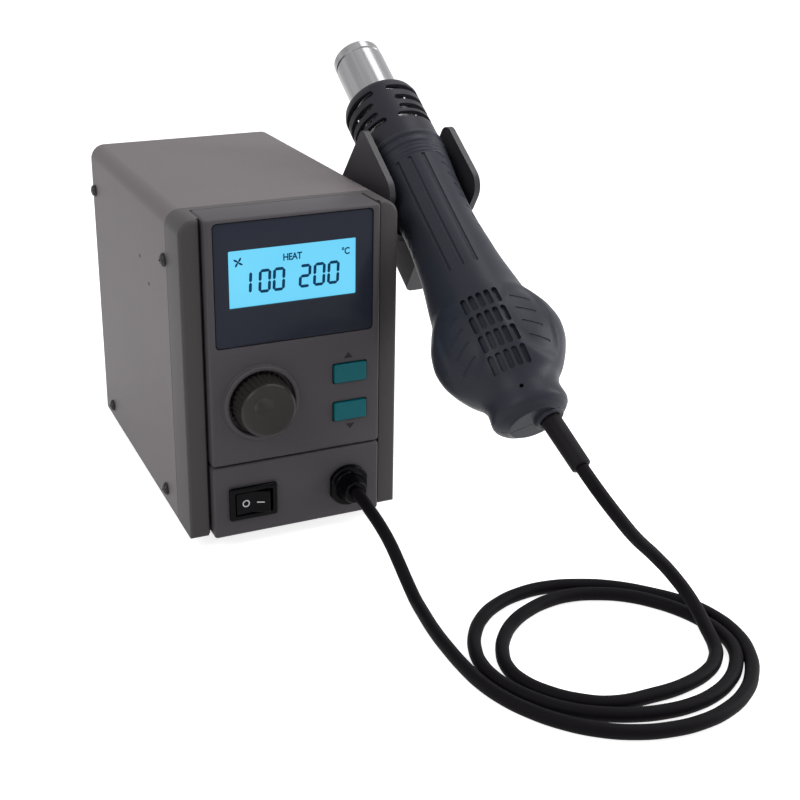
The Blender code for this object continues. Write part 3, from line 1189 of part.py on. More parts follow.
def build_fan(handset):
    """The fan in the bulb: its duct with three struts, the motor below them, and the rotor."""
    top = -DUCT_TOP
    low = top - DUCT_LENGTH
    floor = low + DUCT_FLOOR
    radius = along(HALF_DEPTHS, DUCT_TOP) - SHELL_WALL - 2 * GAP
    tube = prism(circle(radius, 24), low, top, holes=[circle(radius - DUCT_WALL, 24)])
    duct = make_part("fan_duct", tube, "switch_black", handset)
    half = STRUT_WIDTH / 2
    struts = [turn_about("Z", angle, block(HUB_RADIUS / 2, radius - DUCT_WALL / 2, -half, half, low, floor))
              for angle in (90, 210, 330)]
    join(duct, make_cutter("duct_hub", rod(HUB_RADIUS, low, floor, 20), handset), *(
        make_cutter("duct_strut_" + str(i), bm, handset) for i, bm in enumerate(struts, 1)))
    bore = MOTOR_SHAFT_RADIUS + GAP
    cut(duct, make_cutter("duct_bore", rod(bore, low - BEYOND, floor + BEYOND, 12), handset))

    motor_top = low - GAP
    can = rod(MOTOR_RADIUS, motor_top - MOTOR_LENGTH, motor_top, 20)
    motor = make_part("fan_motor", can, "bare_steel", handset)
    shaft_end = top - 0.004
    shaft = rod(MOTOR_SHAFT_RADIUS, motor_top - 0.002, shaft_end, 12)
    join(motor, make_cutter("motor_shaft", shaft, handset))

    rotor_low = floor + GAP
    rotor_top = top - 0.001
    rotor = make_part("fan_rotor", rod(ROTOR_RADIUS, rotor_low, rotor_top, 16), "handset_slate", handset)
    blades = []
    for number in range(ROTOR_BLADES):
        blade = block(ROTOR_RADIUS - DUCT_WALL, radius - DUCT_WALL - 2 * GAP, -BLADE_THICK / 2,
                      BLADE_THICK / 2, -BLADE_CHORD / 2, BLADE_CHORD / 2)
        turn_about("X", BLADE_PITCH, blade)
        bmesh.ops.translate(blade, verts=blade.verts, vec=(0, 0, (rotor_low + rotor_top) / 2))
        blades.append(turn_about("Z", 360 / ROTOR_BLADES * number, blade))
    join(rotor, make_cutter("rotor_blades", gather(blades), handset))
    cut(rotor, make_cutter("rotor_bore", rod(bore, rotor_low - BEYOND, shaft_end + 0.001, 12), handset))


def as_front(bm):
    """Stand an outline drawn in X and Z at the handset's front, which is its -Y side."""
    bmesh.ops.rotate(bm, verts=bm.verts, cent=(0, 0, 0), matrix=Matrix.Rotation(math.radians(90), 3, "X"))
    return bm


def build_cord(station):
    """The cord from the handset's sleeve, coiled loosely on the table, and back to the gland."""
    curve = bpy.data.curves.new("handset_cord", "CURVE")
    curve.dimensions = "3D"
    curve.bevel_depth = CORD_RADIUS
    curve.bevel_resolution = 2
    curve.use_fill_caps = True
    spline = curve.splines.new("POLY")
    points = [Vector(CORD_ROUTE[0])] + even_points(CORD_ROUTE[1:], CORD_STEP)
    spline.points.add(len(points) - 1)
    for point, co in zip(spline.points, points):
        point.co = (*co, 1)
    cord = bpy.data.objects.new("handset_cord", curve)
    cord.data.materials.append(make_material("handset_cord", "cord_black"))
    return place(cord, parts, station, (0, 0, 0), (0, 0, 0))


def smooth_point(route, place):
    """A point on the smooth curve that passes through every point of the route."""
    i = min(int(place), len(route) - 2)
    t = place - i
    before, here, there, after = (Vector(route[min(max(i + k, 0), len(route) - 1)]) for k in (-1, 0, 1, 2))
    return 0.5 * (2 * here + (there - before) * t + (2 * before - 5 * here + 4 * there - after) * t * t
                  + (3 * here - before - 3 * there + after) * t ** 3)


def even_points(route, step):
    """Points at even distances along the smooth curve."""
    fine = [smooth_point(route, k / 20) for k in range(20 * (len(route) - 1) + 1)]
    length = sum((b - a).length for a, b in zip(fine, fine[1:]))
    count = round(length / step)
    points = [fine[0]]
    travelled = 0
    for a, b in zip(fine, fine[1:]):
        piece = (b - a).length
        while len(points) < count and travelled + piece >= len(points) * length / count:
            share = (len(points) * length / count - travelled) / piece
            points.append(a.lerp(b, share))
        travelled += piece
    points.append(fine[-1])
    return points


for obj in list(bpy.data.objects):
    bpy.data.objects.remove(obj)
parts = bpy.data.collections.new("hot_air_rework_station")
cutters = bpy.data.collections.new("cutters")
bpy.context.scene.collection.children.link(parts)
bpy.context.scene.collection.children.link(cutters)

station_frame = make_empty("station", None, (CASE_X, FRONT_Y, 0))
case_frame, front_side = build_case(station_frame)
build_front(front_side)
cradle_frame = make_empty("cradle", station_frame, (AXIS_X, AXIS_Y, AXIS_Z + FOOT_HEIGHT),
                          (AXIS_TILT - math.pi / 2, 0, 0))
build_holder(cradle_frame)
handset_frame = make_empty("handset", cradle_frame, (0, 0, 0), (0, 0, HANDSET_ROLL))
build_handset(handset_frame)
build_cord(station_frame)
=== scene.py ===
"""The looks of a hot air rework station: case with its display, handset in its holder, and cord.

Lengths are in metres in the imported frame: X = 0 and Y = 0 below the middle of the station,
-Y towards the front panel, and Z = 0 on the table.
"""
import json
import math

import bmesh
import bpy
from mathutils import Matrix, Vector

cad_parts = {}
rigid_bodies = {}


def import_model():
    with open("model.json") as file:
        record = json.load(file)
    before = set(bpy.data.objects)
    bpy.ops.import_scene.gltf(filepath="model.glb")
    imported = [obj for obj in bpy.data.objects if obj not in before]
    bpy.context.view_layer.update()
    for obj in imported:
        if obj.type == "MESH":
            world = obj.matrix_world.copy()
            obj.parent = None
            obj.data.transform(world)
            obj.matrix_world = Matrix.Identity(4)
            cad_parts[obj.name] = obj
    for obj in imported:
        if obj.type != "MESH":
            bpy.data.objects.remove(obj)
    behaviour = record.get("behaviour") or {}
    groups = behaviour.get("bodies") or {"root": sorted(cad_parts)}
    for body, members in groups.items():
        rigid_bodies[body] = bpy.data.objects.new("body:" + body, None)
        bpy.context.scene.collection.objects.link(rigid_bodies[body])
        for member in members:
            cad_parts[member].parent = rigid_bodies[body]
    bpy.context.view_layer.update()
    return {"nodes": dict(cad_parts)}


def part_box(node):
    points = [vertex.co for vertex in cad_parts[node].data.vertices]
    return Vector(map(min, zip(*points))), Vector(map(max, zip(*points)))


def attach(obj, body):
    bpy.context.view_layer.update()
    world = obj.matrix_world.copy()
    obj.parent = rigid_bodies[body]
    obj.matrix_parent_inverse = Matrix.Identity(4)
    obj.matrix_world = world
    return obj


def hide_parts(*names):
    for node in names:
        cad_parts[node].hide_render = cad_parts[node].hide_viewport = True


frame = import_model()
nodes = frame["nodes"]

# The view is that of the photograph: a long lens, from the front left and above. The lens is
# shifted a little, because the photograph is a part of a wider picture.
scene = bpy.context.scene
scene.view_settings.view_transform = "Standard"
lens = bpy.data.cameras.new("camera")
lens.lens = 58.67
lens.sensor_width = 36
lens.shift_x = 0.0761
lens.shift_y = -0.0786
lens.clip_start = 0.01
camera = bpy.data.objects.new("camera", lens)
camera.location = (-0.2080, -0.5223, 0.2889)
camera.rotation_euler = (math.radians(90 - 20.29), 0, math.radians(-22.49))
scene.collection.objects.link(camera)
scene.camera = camera


# The cord is a round black rubber-sheathed cable of 5.5 mm. It leaves the handset's sleeve, drops
# to the table, lies there in two loose turns and a half, and rises into the gland on the front.
def hex_rgb(code):
    """The linear colour of an sRGB hex code."""
    channels = [int(code[i:i + 2], 16) / 255 for i in (0, 2, 4)]
    return tuple(c / 12.92 if c <= 0.04045 else ((c + 0.055) / 1.055) ** 2.4 for c in channels) + (1,)


def add_node(material, kind, inputs=None, **settings):
    """Add one shader node; each input is a value, or the output of another node."""
    node = material.node_tree.nodes.new("ShaderNode" + kind)
    for name, value in settings.items():
        setattr(node, name, value)
    for socket, value in (inputs or {}).items():
        if isinstance(value, bpy.types.NodeSocket):
            material.node_tree.links.new(value, node.inputs[socket])
        else:
            node.inputs[socket].default_value = value
    return node


def new_material(name, **inputs):
    """A material and its surface shader, with the shader's constants set."""
    material = bpy.data.materials.new(name)
    material.use_nodes = True
    shader = material.node_tree.nodes["Principled BSDF"]
    for socket, value in inputs.items():
        shader.inputs[socket.replace("_", " ")].default_value = value
    return material, shader


def link(material, output, socket):
    """Join one node's output to another's socket."""
    material.node_tree.links.new(output, socket)


def mottle(material, socket, low, high, scale, detail=3, place=None):
    """Let a colour wander between two by noise over the object, and return the noise."""
    place = place or add_node(material, "TexCoord").outputs["Object"]
    noise = add_node(material, "TexNoise", {"Vector": place, "Scale": scale, "Detail": detail}).outputs["Fac"]
    tint = add_node(material, "MixRGB", {"Fac": noise, "Color1": hex_rgb(low), "Color2": hex_rgb(high)})
    link(material, tint.outputs["Color"], socket)
    return noise


DRIFT_SCALE = 14
UNEVEN = 0.06


def moulded(name, low, high, roughness, grain, relief, gloss=0.2):
    """A moulded or sprayed surface: a fine grain of the given size, and a slight drift of colour."""
    material, shader = new_material(name, Specular_IOR_Level=gloss)
    place = add_node(material, "TexCoord").outputs["Object"]
    mottle(material, shader.inputs["Base Color"], low, high, DRIFT_SCALE, place=place)
    speck = add_node(material, "TexNoise", {"Vector": place, "Scale": 1 / grain, "Detail": 2}).outputs["Fac"]
    level = add_node(material, "MapRange", {"Value": speck, "To Min": roughness - UNEVEN,
                                            "To Max": roughness + UNEVEN})
    bump = add_node(material, "Bump", {"Height": speck, "Strength": 0.6, "Distance": relief})
    link(material, level.outputs["Result"], shader.inputs["Roughness"])
    link(material, bump.outputs["Normal"], shader.inputs["Normal"])
    return material


# Rubber sheath: black and dull, with a dusty grain of about 1 mm that softens its highlight.
cord_sheath = moulded("rubber_sheath", "09070a", "100d11", 0.6, 0.0012, 0.00003, 0.07)
CORD_RADIUS = 0.00275
CORD_ROUTE = (
    (82.4, -98.2, 63.1), (82.9, -101.6, 61.1), (86, -107.6, 54.7), (91.7, -111.9, 46),
    (99.2, -113.9, 36.4), (107.7, -115.4, 27.6), (115, -119.2, 18.8), (118.9, -126.8, 11),
    (118.1, -137.4, 5.7), (114.8, -148.6, 2.9), (110.4, -154.1), (104, -158.8), (89.5, -163.3),
    (75, -164), (58.8, -162.3), (48.9, -156.7), (40.6, -147.9), (35.9, -138.5), (35, -129),
    (38.2, -119), (44.4, -109.8), (52.4, -102.6), (62, -97.4), (72.6, -94.3), (83.3, -93.8),
    (95.2, -97.2), (105.2, -103), (113, -111), (119, -120.5), (122.6, -131), (123.6, -142),
    (121, -152.2), (114, -161.5), (106, -167.7), (96, -172.2), (85, -174.2), (74, -173.8),
    (63, -171.3), (52.3, -166.6), (42.6, -159.9), (35.4, -151.6), (30.3, -142.5), (27.4, -133.5),
    (26.8, -124), (29.2, -113.8), (34.7, -103.5), (43, -94.5), (53, -88.4), (65, -84.9),
    (78, -84.7), (92.3, -88.8), (104, -95.2), (115, -105.2), (123.8, -116.5), (128.6, -129.5),
    (129, -143), (124.8, -156), (117, -167.2), (107, -175.7), (95, -181.3), (82, -183.7),
    (69, -182.9), (57, -179.5), (46, -173.4), (36.2, -164.5), (28.7, -154), (24, -144),
    (21.2, -133.5), (20.1, -122), (20, -109), (20.6, -96), (22.1, -83), (23.4, -72.5, 3.2),
    (23.9, -64.3, 6), (23.9, -56, 10.6), (23.9, -47, 15.2), (23.9, -37, 18.4), (23.9, -26.5, 20.4),
    (23.9, -17, 21.8), (23.9, -6, 22),
)
# The route is in millimetres from the middle of the case's front face, at table height. A pair is
# a place where the cord lies on the table.
cover_low, cover_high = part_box("top_cover")
front_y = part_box("lower_panel")[0].y
station = Vector(((cover_low.x + cover_high.x) / 2, front_y, 0))
route = [station + Vector((*place, CORD_RADIUS * 1000)[:3]) / 1000 for place in CORD_ROUTE]
curve = bpy.data.curves.new("cord", "CURVE")
curve.dimensions = "3D"
curve.bevel_depth = CORD_RADIUS
curve.bevel_resolution = 6
curve.resolution_u = 6
curve.use_fill_caps = True
spline = curve.splines.new("BEZIER")
spline.bezier_points.add(len(route) - 1)
for point, place in zip(spline.bezier_points, route):
    point.co = place
    point.handle_left_type = point.handle_right_type = "AUTO"
curve.materials.append(cord_sheath)
cord = bpy.data.objects.new("cord", curve)
scene.collection.objects.link(cord)
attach(cord, "station")
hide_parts("handset_cord")

# The studio is a white table that runs on to the horizon, with a large soft lamp above the front
# left, a tall narrow one at the right, and one overhead, a little to the right.
def looked_at(owner):
    """One where the camera or a reflection looks, so that the lighting stays as it is."""
    path = add_node(owner, "LightPath")
    seen = add_node(owner, "Math", {0: path.outputs["Is Camera Ray"], 1: path.outputs["Is Glossy Ray"]},
                    operation="MAXIMUM")
    return seen.outputs["Value"]


FLOOR_GLOW = 0.8
# White paint: matt, and as white as the page where the camera sees it.
floor_paint, shader = new_material("white_table", Base_Color=hex_rgb("ededed"), Roughness=0.9,
                                   Specular_IOR_Level=0.1, Emission_Color=(1, 1, 1, 1))
glow = add_node(floor_paint, "Math", {0: looked_at(floor_paint), 1: FLOOR_GLOW}, operation="MULTIPLY")
link(floor_paint, glow.outputs["Value"], shader.inputs["Emission Strength"])
FLOOR_SIZE = 8


def as_object(bm, name, collection=scene.collection):
    """Turn a mesh under construction into an object."""
    mesh = bpy.data.meshes.new(name)
    bm.to_mesh(mesh)
    bm.free()
    made = bpy.data.objects.new(name, mesh)
    collection.objects.link(made)
    return made


bm = bmesh.new()
bmesh.ops.create_grid(bm, x_segments=1, y_segments=1, size=FLOOR_SIZE / 2)
floor = as_object(bm, "floor")
floor.data.materials.append(floor_paint)

SKY_FILL = 0.3
world = bpy.data.worlds.new("studio")
scene.world = world
world.use_nodes = True
backdrop = world.node_tree.nodes["Background"]
level = add_node(world, "MapRange", {"Value": looked_at(world), "To Min": SKY_FILL, "To Max": 1.0})
link(world, level.outputs["Result"], backdrop.inputs["Strength"])
backdrop.inputs["Color"].default_value = (1, 1, 1, 1)


def add_lamp(name, place, target, width, height, watts):
    """A soft rectangular lamp that faces a point."""
    light = bpy.data.lights.new(name, "AREA")
    light.shape = "RECTANGLE"
    light.size = width
    light.size_y = height
    light.energy = watts
    lamp = bpy.data.objects.new(name, light)
    lamp.location = place
    lamp.rotation_euler = (Vector(target) - Vector(place)).to_track_quat("-Z", "Y").to_euler()
    scene.collection.objects.link(lamp)


middle = (0.0, 0.0, 0.1)
add_lamp("key_lamp", (-1.0, -0.5, 1.0), middle, 0.7, 0.7, 6)
add_lamp("side_lamp", (1.0, -0.35, 0.5), middle, 0.16, 0.9, 7)
add_lamp("top_lamp", (0.45, 0.0, 1.1), middle, 0.8, 0.4, 4)


# The cover is a steel sheet of 1.2 mm, folded down at both sides over a 7 mm radius, and sprayed
# in a warm grey enamel with a fine texture. Two small holes are drilled in its left side.
CASE_HALF = 0.049
CASE_HEIGHT = 0.1443
CASE_DEPTH = 0.1643
SHEET = 0.0012
CORNER_RADIUS = 0.007
FRAME_BACK = 0.024
TINY = 0.0003
front = Matrix.Translation((station.x, station.y, cover_low.z)) @ Matrix.Rotation(math.radians(90), 4, "X")
X, Z = 0, 2


def turned(degrees, axis):
    """A turn about an axis."""
    return Matrix.Rotation(math.radians(degrees), 4, axis)


def shifted(*place):
    """A move by a vector."""
    return Matrix.Translation(place)


def box(low, high):
    """A box between two corners."""
    bm = bmesh.new()
    bmesh.ops.create_cube(bm, size=1)
    low, high = Vector(low), Vector(high)
    bmesh.ops.scale(bm, vec=high - low, verts=bm.verts)
    bmesh.ops.translate(bm, vec=(low + high) / 2, verts=bm.verts)
    return bm


def running(bm, axis):
    """The edges that run along an axis."""
    return [e for e in bm.edges if abs((e.verts[0].co - e.verts[1].co).normalized()[axis]) > 0.999]


def level_with(bm, axis, place):
    """The edges that lie in one plane across an axis."""
    return [e for e in bm.edges if all(abs(v.co[axis] - place) < 1e-6 for v in e.verts)]


def round_off(bm, edges, radius, segments=4):
    """Round some edges to a radius."""
    bmesh.ops.bevel(bm, geom=edges, offset=radius, offset_type="OFFSET", affect="EDGES",
                    segments=segments, profile=0.5, material=-1, clamp_overlap=True)
    return bm


def applied(bm, kind, **settings):
    """The mesh as one modifier leaves it."""
    shape = as_object(bm, "shape")
    mesh = shape.data
    step = shape.modifiers.new("step", kind)
    for setting, value in settings.items():
        setattr(step, setting, value)
    bpy.context.view_layer.update()
    result = bmesh.new()
    result.from_object(shape, bpy.context.evaluated_depsgraph_get())
    bpy.data.objects.remove(shape)
    bpy.data.meshes.remove(mesh)
    return result


def carve(bm, tools, operation="DIFFERENCE"):
    """Take the tools' volume out of a solid, with one exact Boolean."""
    rack = bpy.data.collections.new("rack")
    scene.collection.children.link(rack)
    for tool in tools:
        bmesh.ops.recalc_face_normals(tool, faces=tool.faces)
        as_object(tool, "tool", rack)
    bmesh.ops.remove_doubles(bm, verts=bm.verts, dist=1e-6)
    bmesh.ops.recalc_face_normals(bm, faces=bm.faces)
    result = applied(bm, "BOOLEAN", operation=operation, solver="EXACT", operand_type="COLLECTION",
                     collection=rack)
    for tool in list(rack.objects):
        bpy.data.objects.remove(tool)
    bpy.data.collections.remove(rack)
    return result


def add_piece(bm, name, material, body, slot, *stands_for, place=front, sharp=35, ease=0.0):
    """Put a finished mesh in its place in the frame, riding on its body."""
    bmesh.ops.remove_doubles(bm, verts=bm.verts, dist=1e-7)
    bmesh.ops.transform(bm, matrix=place, verts=bm.verts)
    bmesh.ops.recalc_face_normals(bm, faces=bm.faces)
    piece = as_object(bm, name)
    piece.data.shade_smooth()
    piece.data.set_sharp_from_angle(angle=math.radians(sharp))
    piece.data.materials.append(material)
    if ease:
        rounding = piece.modifiers.new("rounding", "BEVEL")
        rounding.width = ease
        rounding.segments = 2
        rounding.limit_method = "ANGLE"
        rounding.angle_limit = math.radians(sharp)
        rounding.harden_normals = True
    else:
        weighted = piece.modifiers.new("weighted", "WEIGHTED_NORMAL")
        weighted.keep_sharp = True
    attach(piece, body)
    if stands_for:
        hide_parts(*stands_for)


def peg(radius, low, high, centre=(0, 0), steps=24):
    """A round bar along Z."""
    bm = bmesh.new()
    bmesh.ops.create_cone(bm, cap_ends=True, segments=steps, radius1=radius, radius2=radius, depth=high - low)
    bmesh.ops.translate(bm, vec=(centre[0], centre[1], (low + high) / 2), verts=bm.verts)
    return bm


def everything(bm):
    """All that a mesh is made of."""
    return list(bm.verts) + list(bm.edges) + list(bm.faces)


def moved(bm, matrix):
    """The same mesh, moved or turned."""
    bmesh.ops.transform(bm, matrix=matrix, verts=bm.verts)
    return bm


# Sprayed enamel on steel: warm grey, half matt, with a slight pebble that breaks up its highlights.
# The pebble is about 0.5 mm across, drawn at 0.6 mm to show.
cover_enamel = moulded("sprayed_enamel", "665f61", "706a6c", 0.5, 0.0006, 0.00004)
cover = box((-CASE_HALF, 0, -CASE_DEPTH), (CASE_HALF, CASE_HEIGHT, -FRAME_BACK - TINY))
round_off(cover, [e for e in running(cover, Z) if e.verts[0].co.y > CORNER_RADIUS], CORNER_RADIUS, 12)
open_sides = [f for f in cover.faces if abs(f.normal.z) > 0.9 or f.normal.y < -0.9]
bmesh.ops.delete(cover, geom=open_sides, context="FACES")
cover = applied(cover, "SOLIDIFY", thickness=SHEET, offset=-1, use_even_offset=True)
SIDE_HOLES = ((0.0706, 0.1117), (0.0561, 0.1027))
SIDE_HOLE_RADIUS = 0.0008
side_turn = turned(-90, "Y")
drills = [moved(peg(SIDE_HOLE_RADIUS, 0.045, 0.052, steps=16), shifted(0, height, -depth) @ side_turn)
          for depth, height in SIDE_HOLES]
cover = carve(cover, drills)
add_piece(cover, "cover_shell", cover_enamel, "station", "cover_enamel", "top_cover", ease=0.0003)

# The front frame is one black-grey ABS moulding with a fine grain. Its two upright trims stand
# back from the panels, past a dark groove, and its rim is rounded.
CENTRE_HALF = 0.03905
TRIM_SETBACK = 0.0037
GROOVE_WIDTH = 0.0015
GROOVE_DEPTH = 0.0028
PANEL_BACK = 0.0197
PANEL_WALL = 0.003
FRAME_BEVEL = 0.0016
FRAME_RIM = 0.006
FAR = 0.01
# Grained ABS: nearly black, with a dull sheen that lifts at the edges; the grain is about 0.5 mm.
trim_plastic = moulded("grained_abs", "454243", "4d4a4b", 0.5, 0.0005, 0.00003)
frame_body = box((-CASE_HALF, 0, -FRAME_BACK), (CASE_HALF, CASE_HEIGHT, -TRIM_SETBACK))
top_corners = [e for e in running(frame_body, Z) if e.verts[0].co.y > CORNER_RADIUS]
round_off(frame_body, top_corners, CORNER_RADIUS, 12)
round_off(frame_body, level_with(frame_body, Z, -TRIM_SETBACK), FRAME_BEVEL, 5)
groove = CENTRE_HALF + GROOVE_WIDTH
channel = CENTRE_HALF + TINY
opening = CENTRE_HALF - PANEL_WALL
frame_body = carve(frame_body, [
    box((-groove, -FAR, -TRIM_SETBACK - GROOVE_DEPTH), (groove, CASE_HEIGHT + FAR, FAR)),
    box((-channel, -FAR, -PANEL_BACK - TINY), (channel, CASE_HEIGHT + FAR, FAR)),
    box((-opening, FRAME_RIM, -FRAME_BACK - FAR), (opening, CASE_HEIGHT - FRAME_RIM, FAR)),
])
add_piece(frame_body, "front_moulding", trim_plastic, "station", "trim_moulding", "front_frame", ease=0.00025)

# The two front panels are moulded in the same ABS, a little lighter, with an eased edge all round.
# The upper one is opened for the display, the knob and the buttons; a dark seam parts the two.
PANEL_BEVEL = 0.0012
PANEL_CORNER = 0.0014
PANEL_SEAM = 0.0342
PANEL_SIDE_WALL = 0.0024
KNOB_PLACE = (-0.0165, 0.0622)
COLLAR_RADIUS = 0.017
COLLAR_WALL = 0.0021
COLLAR_HEIGHT = 0.0024
KNOB_POCKET = 0.0015
SHAFT_HOLE = 0.0045
DISPLAY = (-0.03555, 0.0885, 0.03555, 0.1425)
DISPLAY_RECESS = 0.0005
DISPLAY_THICK = 0.0012
DISPLAY_CORNER = 0.002
WINDOW = (-0.02905, 0.10549, 0.02795, 0.13039)
LCD_MARGIN = 0.0018
LCD_THICK = 0.008
BUTTONS = {"button_up": (0.0248, 0.0698), "button_down": (0.0248, 0.05185)}
BUTTON_HALF = (0.0076, 0.0042)
BUTTON_GAP = 0.0005
# The same ABS, lighter: an even dark grey, half matt, whose grain of 0.5 mm only shows up close.
front_plastic = moulded("moulded_abs", "484549", "514d51", 0.5, 0.0005, 0.00003)


def wider(rectangle, margin):
    """A rectangle with a margin all round."""
    left, low, right, high = rectangle
    return left - margin, low - margin, right + margin, high + margin


def slab(left, low, right, high, back, face, corner, edge=0.0, steps=6):
    """A plate whose corners are rounded, and whose face has an eased edge."""
    bm = box((left, low, back), (right, high, face))
    round_off(bm, running(bm, Z), corner, steps)
    if edge:
        round_off(bm, level_with(bm, Z, face), edge, 4)
    return bm


upper = slab(-CENTRE_HALF, PANEL_SEAM + TINY, CENTRE_HALF, CASE_HEIGHT, -PANEL_BACK, 0, PANEL_CORNER,
             PANEL_BEVEL, 3)
wall = PANEL_SIDE_WALL
inner = CENTRE_HALF - wall
recess_floor = -DISPLAY_RECESS - DISPLAY_THICK - TINY
lcd_hole = wider(WINDOW, LCD_MARGIN + TINY)
tools = [
    box((-inner, PANEL_SEAM + wall, -PANEL_BACK - FAR), (inner, CASE_HEIGHT - wall, -PANEL_WALL)),
    slab(*wider(DISPLAY, TINY), recess_floor, FAR, DISPLAY_CORNER),
    box((*lcd_hole[:2], -FAR), (*lcd_hole[2:], FAR)),
    peg(COLLAR_RADIUS - COLLAR_WALL, -KNOB_POCKET, FAR, KNOB_PLACE, 96),
    peg(SHAFT_HOLE, -FAR, FAR, KNOB_PLACE, 48),
]
half = (BUTTON_HALF[0] + BUTTON_GAP, BUTTON_HALF[1] + BUTTON_GAP)
for u, v in BUTTONS.values():
    tools.append(slab(u - half[0], v - half[1], u + half[0], v + half[1], -FAR, FAR, 0.0008, steps=3))
upper = carve(upper, tools)
add_piece(upper, "upper_panel", front_plastic, "station", "front_moulding", "control_panel", ease=0.0002)

SWITCH_PLACE = (-0.0213, 0.0158)
BEZEL = (0.022, 0.0156)
BEZEL_LIP = 0.0014
GLAND_PLACE = (0.0239, 0.0155)
GLAND_HOLE = 0.0065
lower = slab(-CENTRE_HALF, 0, CENTRE_HALF, PANEL_SEAM - TINY, -PANEL_BACK, 0, PANEL_CORNER, PANEL_BEVEL, 3)
hole = (BEZEL[0] / 2 - BEZEL_LIP + TINY, BEZEL[1] / 2 - BEZEL_LIP + TINY)
lower = carve(lower, [
    box((-inner, wall, -PANEL_BACK - FAR), (inner, PANEL_SEAM - TINY - wall, -PANEL_WALL)),
    box((SWITCH_PLACE[0] - hole[0], SWITCH_PLACE[1] - hole[1], -FAR),
        (SWITCH_PLACE[0] + hole[0], SWITCH_PLACE[1] + hole[1], FAR)),
    peg(GLAND_HOLE, -FAR, FAR, GLAND_PLACE, 48),
])
add_piece(lower, "lower_panel_moulding", front_plastic, "station", "front_moulding", "lower_panel",
          ease=0.0002)

# The display panel is a glossy dark polycarbonate plate, let in flush in the upper panel. A window
# in it shows the liquid crystal display, whose blue light shines from behind.
# Polycarbonate: hard mirror gloss over a blue-black body, with the faintest waviness.
display_gloss = moulded("glossy_polycarbonate", "2a2e39", "2f3340", 0.16, 0.004, 0.00001, 0.08)
plate = slab(*DISPLAY, -DISPLAY_RECESS - DISPLAY_THICK, -DISPLAY_RECESS, DISPLAY_CORNER, 0.0003)
plate = carve(plate, [slab(*WINDOW, -FAR, FAR, 0.0005, steps=3)])
add_piece(plate, "display_plate", display_gloss, "station", "display_panel", "display_bezel", ease=0.0002)

# Backlit liquid crystal: an even pale blue that glows, with the faintest drift.
lcd_light, shader = new_material("backlit_crystal", Base_Color=hex_rgb("101a20"), Emission_Strength=0.97,
                                 Specular_IOR_Level=0.1, Roughness=0.22)
mottle(lcd_light, shader.inputs["Emission Color"], "66cffa", "7adeff", 30, 1)
lcd_face = recess_floor
glass = slab(*wider(WINDOW, LCD_MARGIN), lcd_face - LCD_THICK, lcd_face, 0.0004, 0.0002, 2)
add_piece(glass, "lcd_glass", lcd_light, "station", "lit_display", "lcd_module")

# The figures are the crystal's dark segments: two numbers of three figures, a fan, and two words.
# They are flat inks a hair above the display's face.
SEGMENT = 0.0013
FIGURE = (0.0055, 0.0103)
FIGURE_BASE = 0.1106
FIGURE_LEAN = 0.05
INK_HEIGHT = 0.00004
BOLDER = 0.00011
LETTER_HEIGHT = 0.0042
LETTER_SQUEEZE = 0.86
on_glass = front @ shifted(0, 0, lcd_face)
# Twisted crystal: a deep blue rather than black, with no gloss of its own under the glass.
segment_ink, shader = new_material("crystal_segments", Roughness=0.3, Specular_IOR_Level=0.05)
mottle(segment_ink, shader.inputs["Base Color"], "083c63", "0c4a74", 400, 1)


def gather(shapes):
    """Put separate shapes in one mesh."""
    whole = bmesh.new()
    for shape in shapes:
        mesh = bpy.data.meshes.new("shape")
        shape.to_mesh(mesh)
        shape.free()
        whole.from_mesh(mesh)
        bpy.data.meshes.remove(mesh)
    return whole


def segment(u, v, length, across):
    """One display segment with pointed ends, along X or up."""
    half, thick = length / 2, SEGMENT / 2
    size = (half, thick) if across else (thick, half)
    bm = box((u - size[0], v - size[1], lcd_face), (u + size[0], v + size[1], lcd_face + INK_HEIGHT))
    return round_off(bm, running(bm, Z), thick * 0.9, 1)


def figure(left, lit):
    """A seven-segment figure; its segments are named a to g, from the top clockwise."""
    width, height = FIGURE
    middle = left + width / 2
    reach = width - SEGMENT * 1.15
    rise = height / 2 - SEGMENT * 0.65
    near, far = left + SEGMENT / 2, left + width - SEGMENT / 2
    low, high = FIGURE_BASE + SEGMENT / 2, FIGURE_BASE + height - SEGMENT / 2
    centre = (low + high) / 2
    places = {
        "a": (middle, high, reach, True), "b": (far, (centre + high) / 2, rise, False),
        "c": (far, (low + centre) / 2, rise, False), "d": (middle, low, reach, True),
        "e": (near, (low + centre) / 2, rise, False), "f": (near, (centre + high) / 2, rise, False),
        "g": (middle, centre, reach, True),
    }
    return [segment(*places[name]) for name in lit]


def letters(text, u, v, height, name):
    """Printed letters, centred on a place."""
    font = bpy.data.curves.new(name, "FONT")
    font.body = text
    font.size = height
    font.align_x = "CENTER"
    font.align_y = "CENTER"
    font.extrude = INK_HEIGHT / 2
    font.offset = BOLDER
    font.space_character = 0.92
    font.resolution_u = 4
    writing = bpy.data.objects.new(name, font)
    scene.collection.objects.link(writing)
    bpy.context.view_layer.update()
    bm = bmesh.new()
    mesh = bpy.data.meshes.new_from_object(writing.evaluated_get(bpy.context.evaluated_depsgraph_get()))
    bm.from_mesh(mesh)
    bpy.data.objects.remove(writing)
    bpy.data.meshes.remove(mesh)
    low = [min(vert.co[i] for vert in bm.verts) for i in (0, 1)]
    high = [max(vert.co[i] for vert in bm.verts) for i in (0, 1)]
    centre = Vector(((low[0] + high[0]) / 2, (low[1] + high[1]) / 2, -INK_HEIGHT / 2))
    moved(bm, shifted(u, v, 0) @ Matrix.Diagonal((LETTER_SQUEEZE, 1, 1, 1))
          @ Matrix.Translation(-centre))
    add_piece(bm, name, segment_ink, "station", "lit_display", place=on_glass)


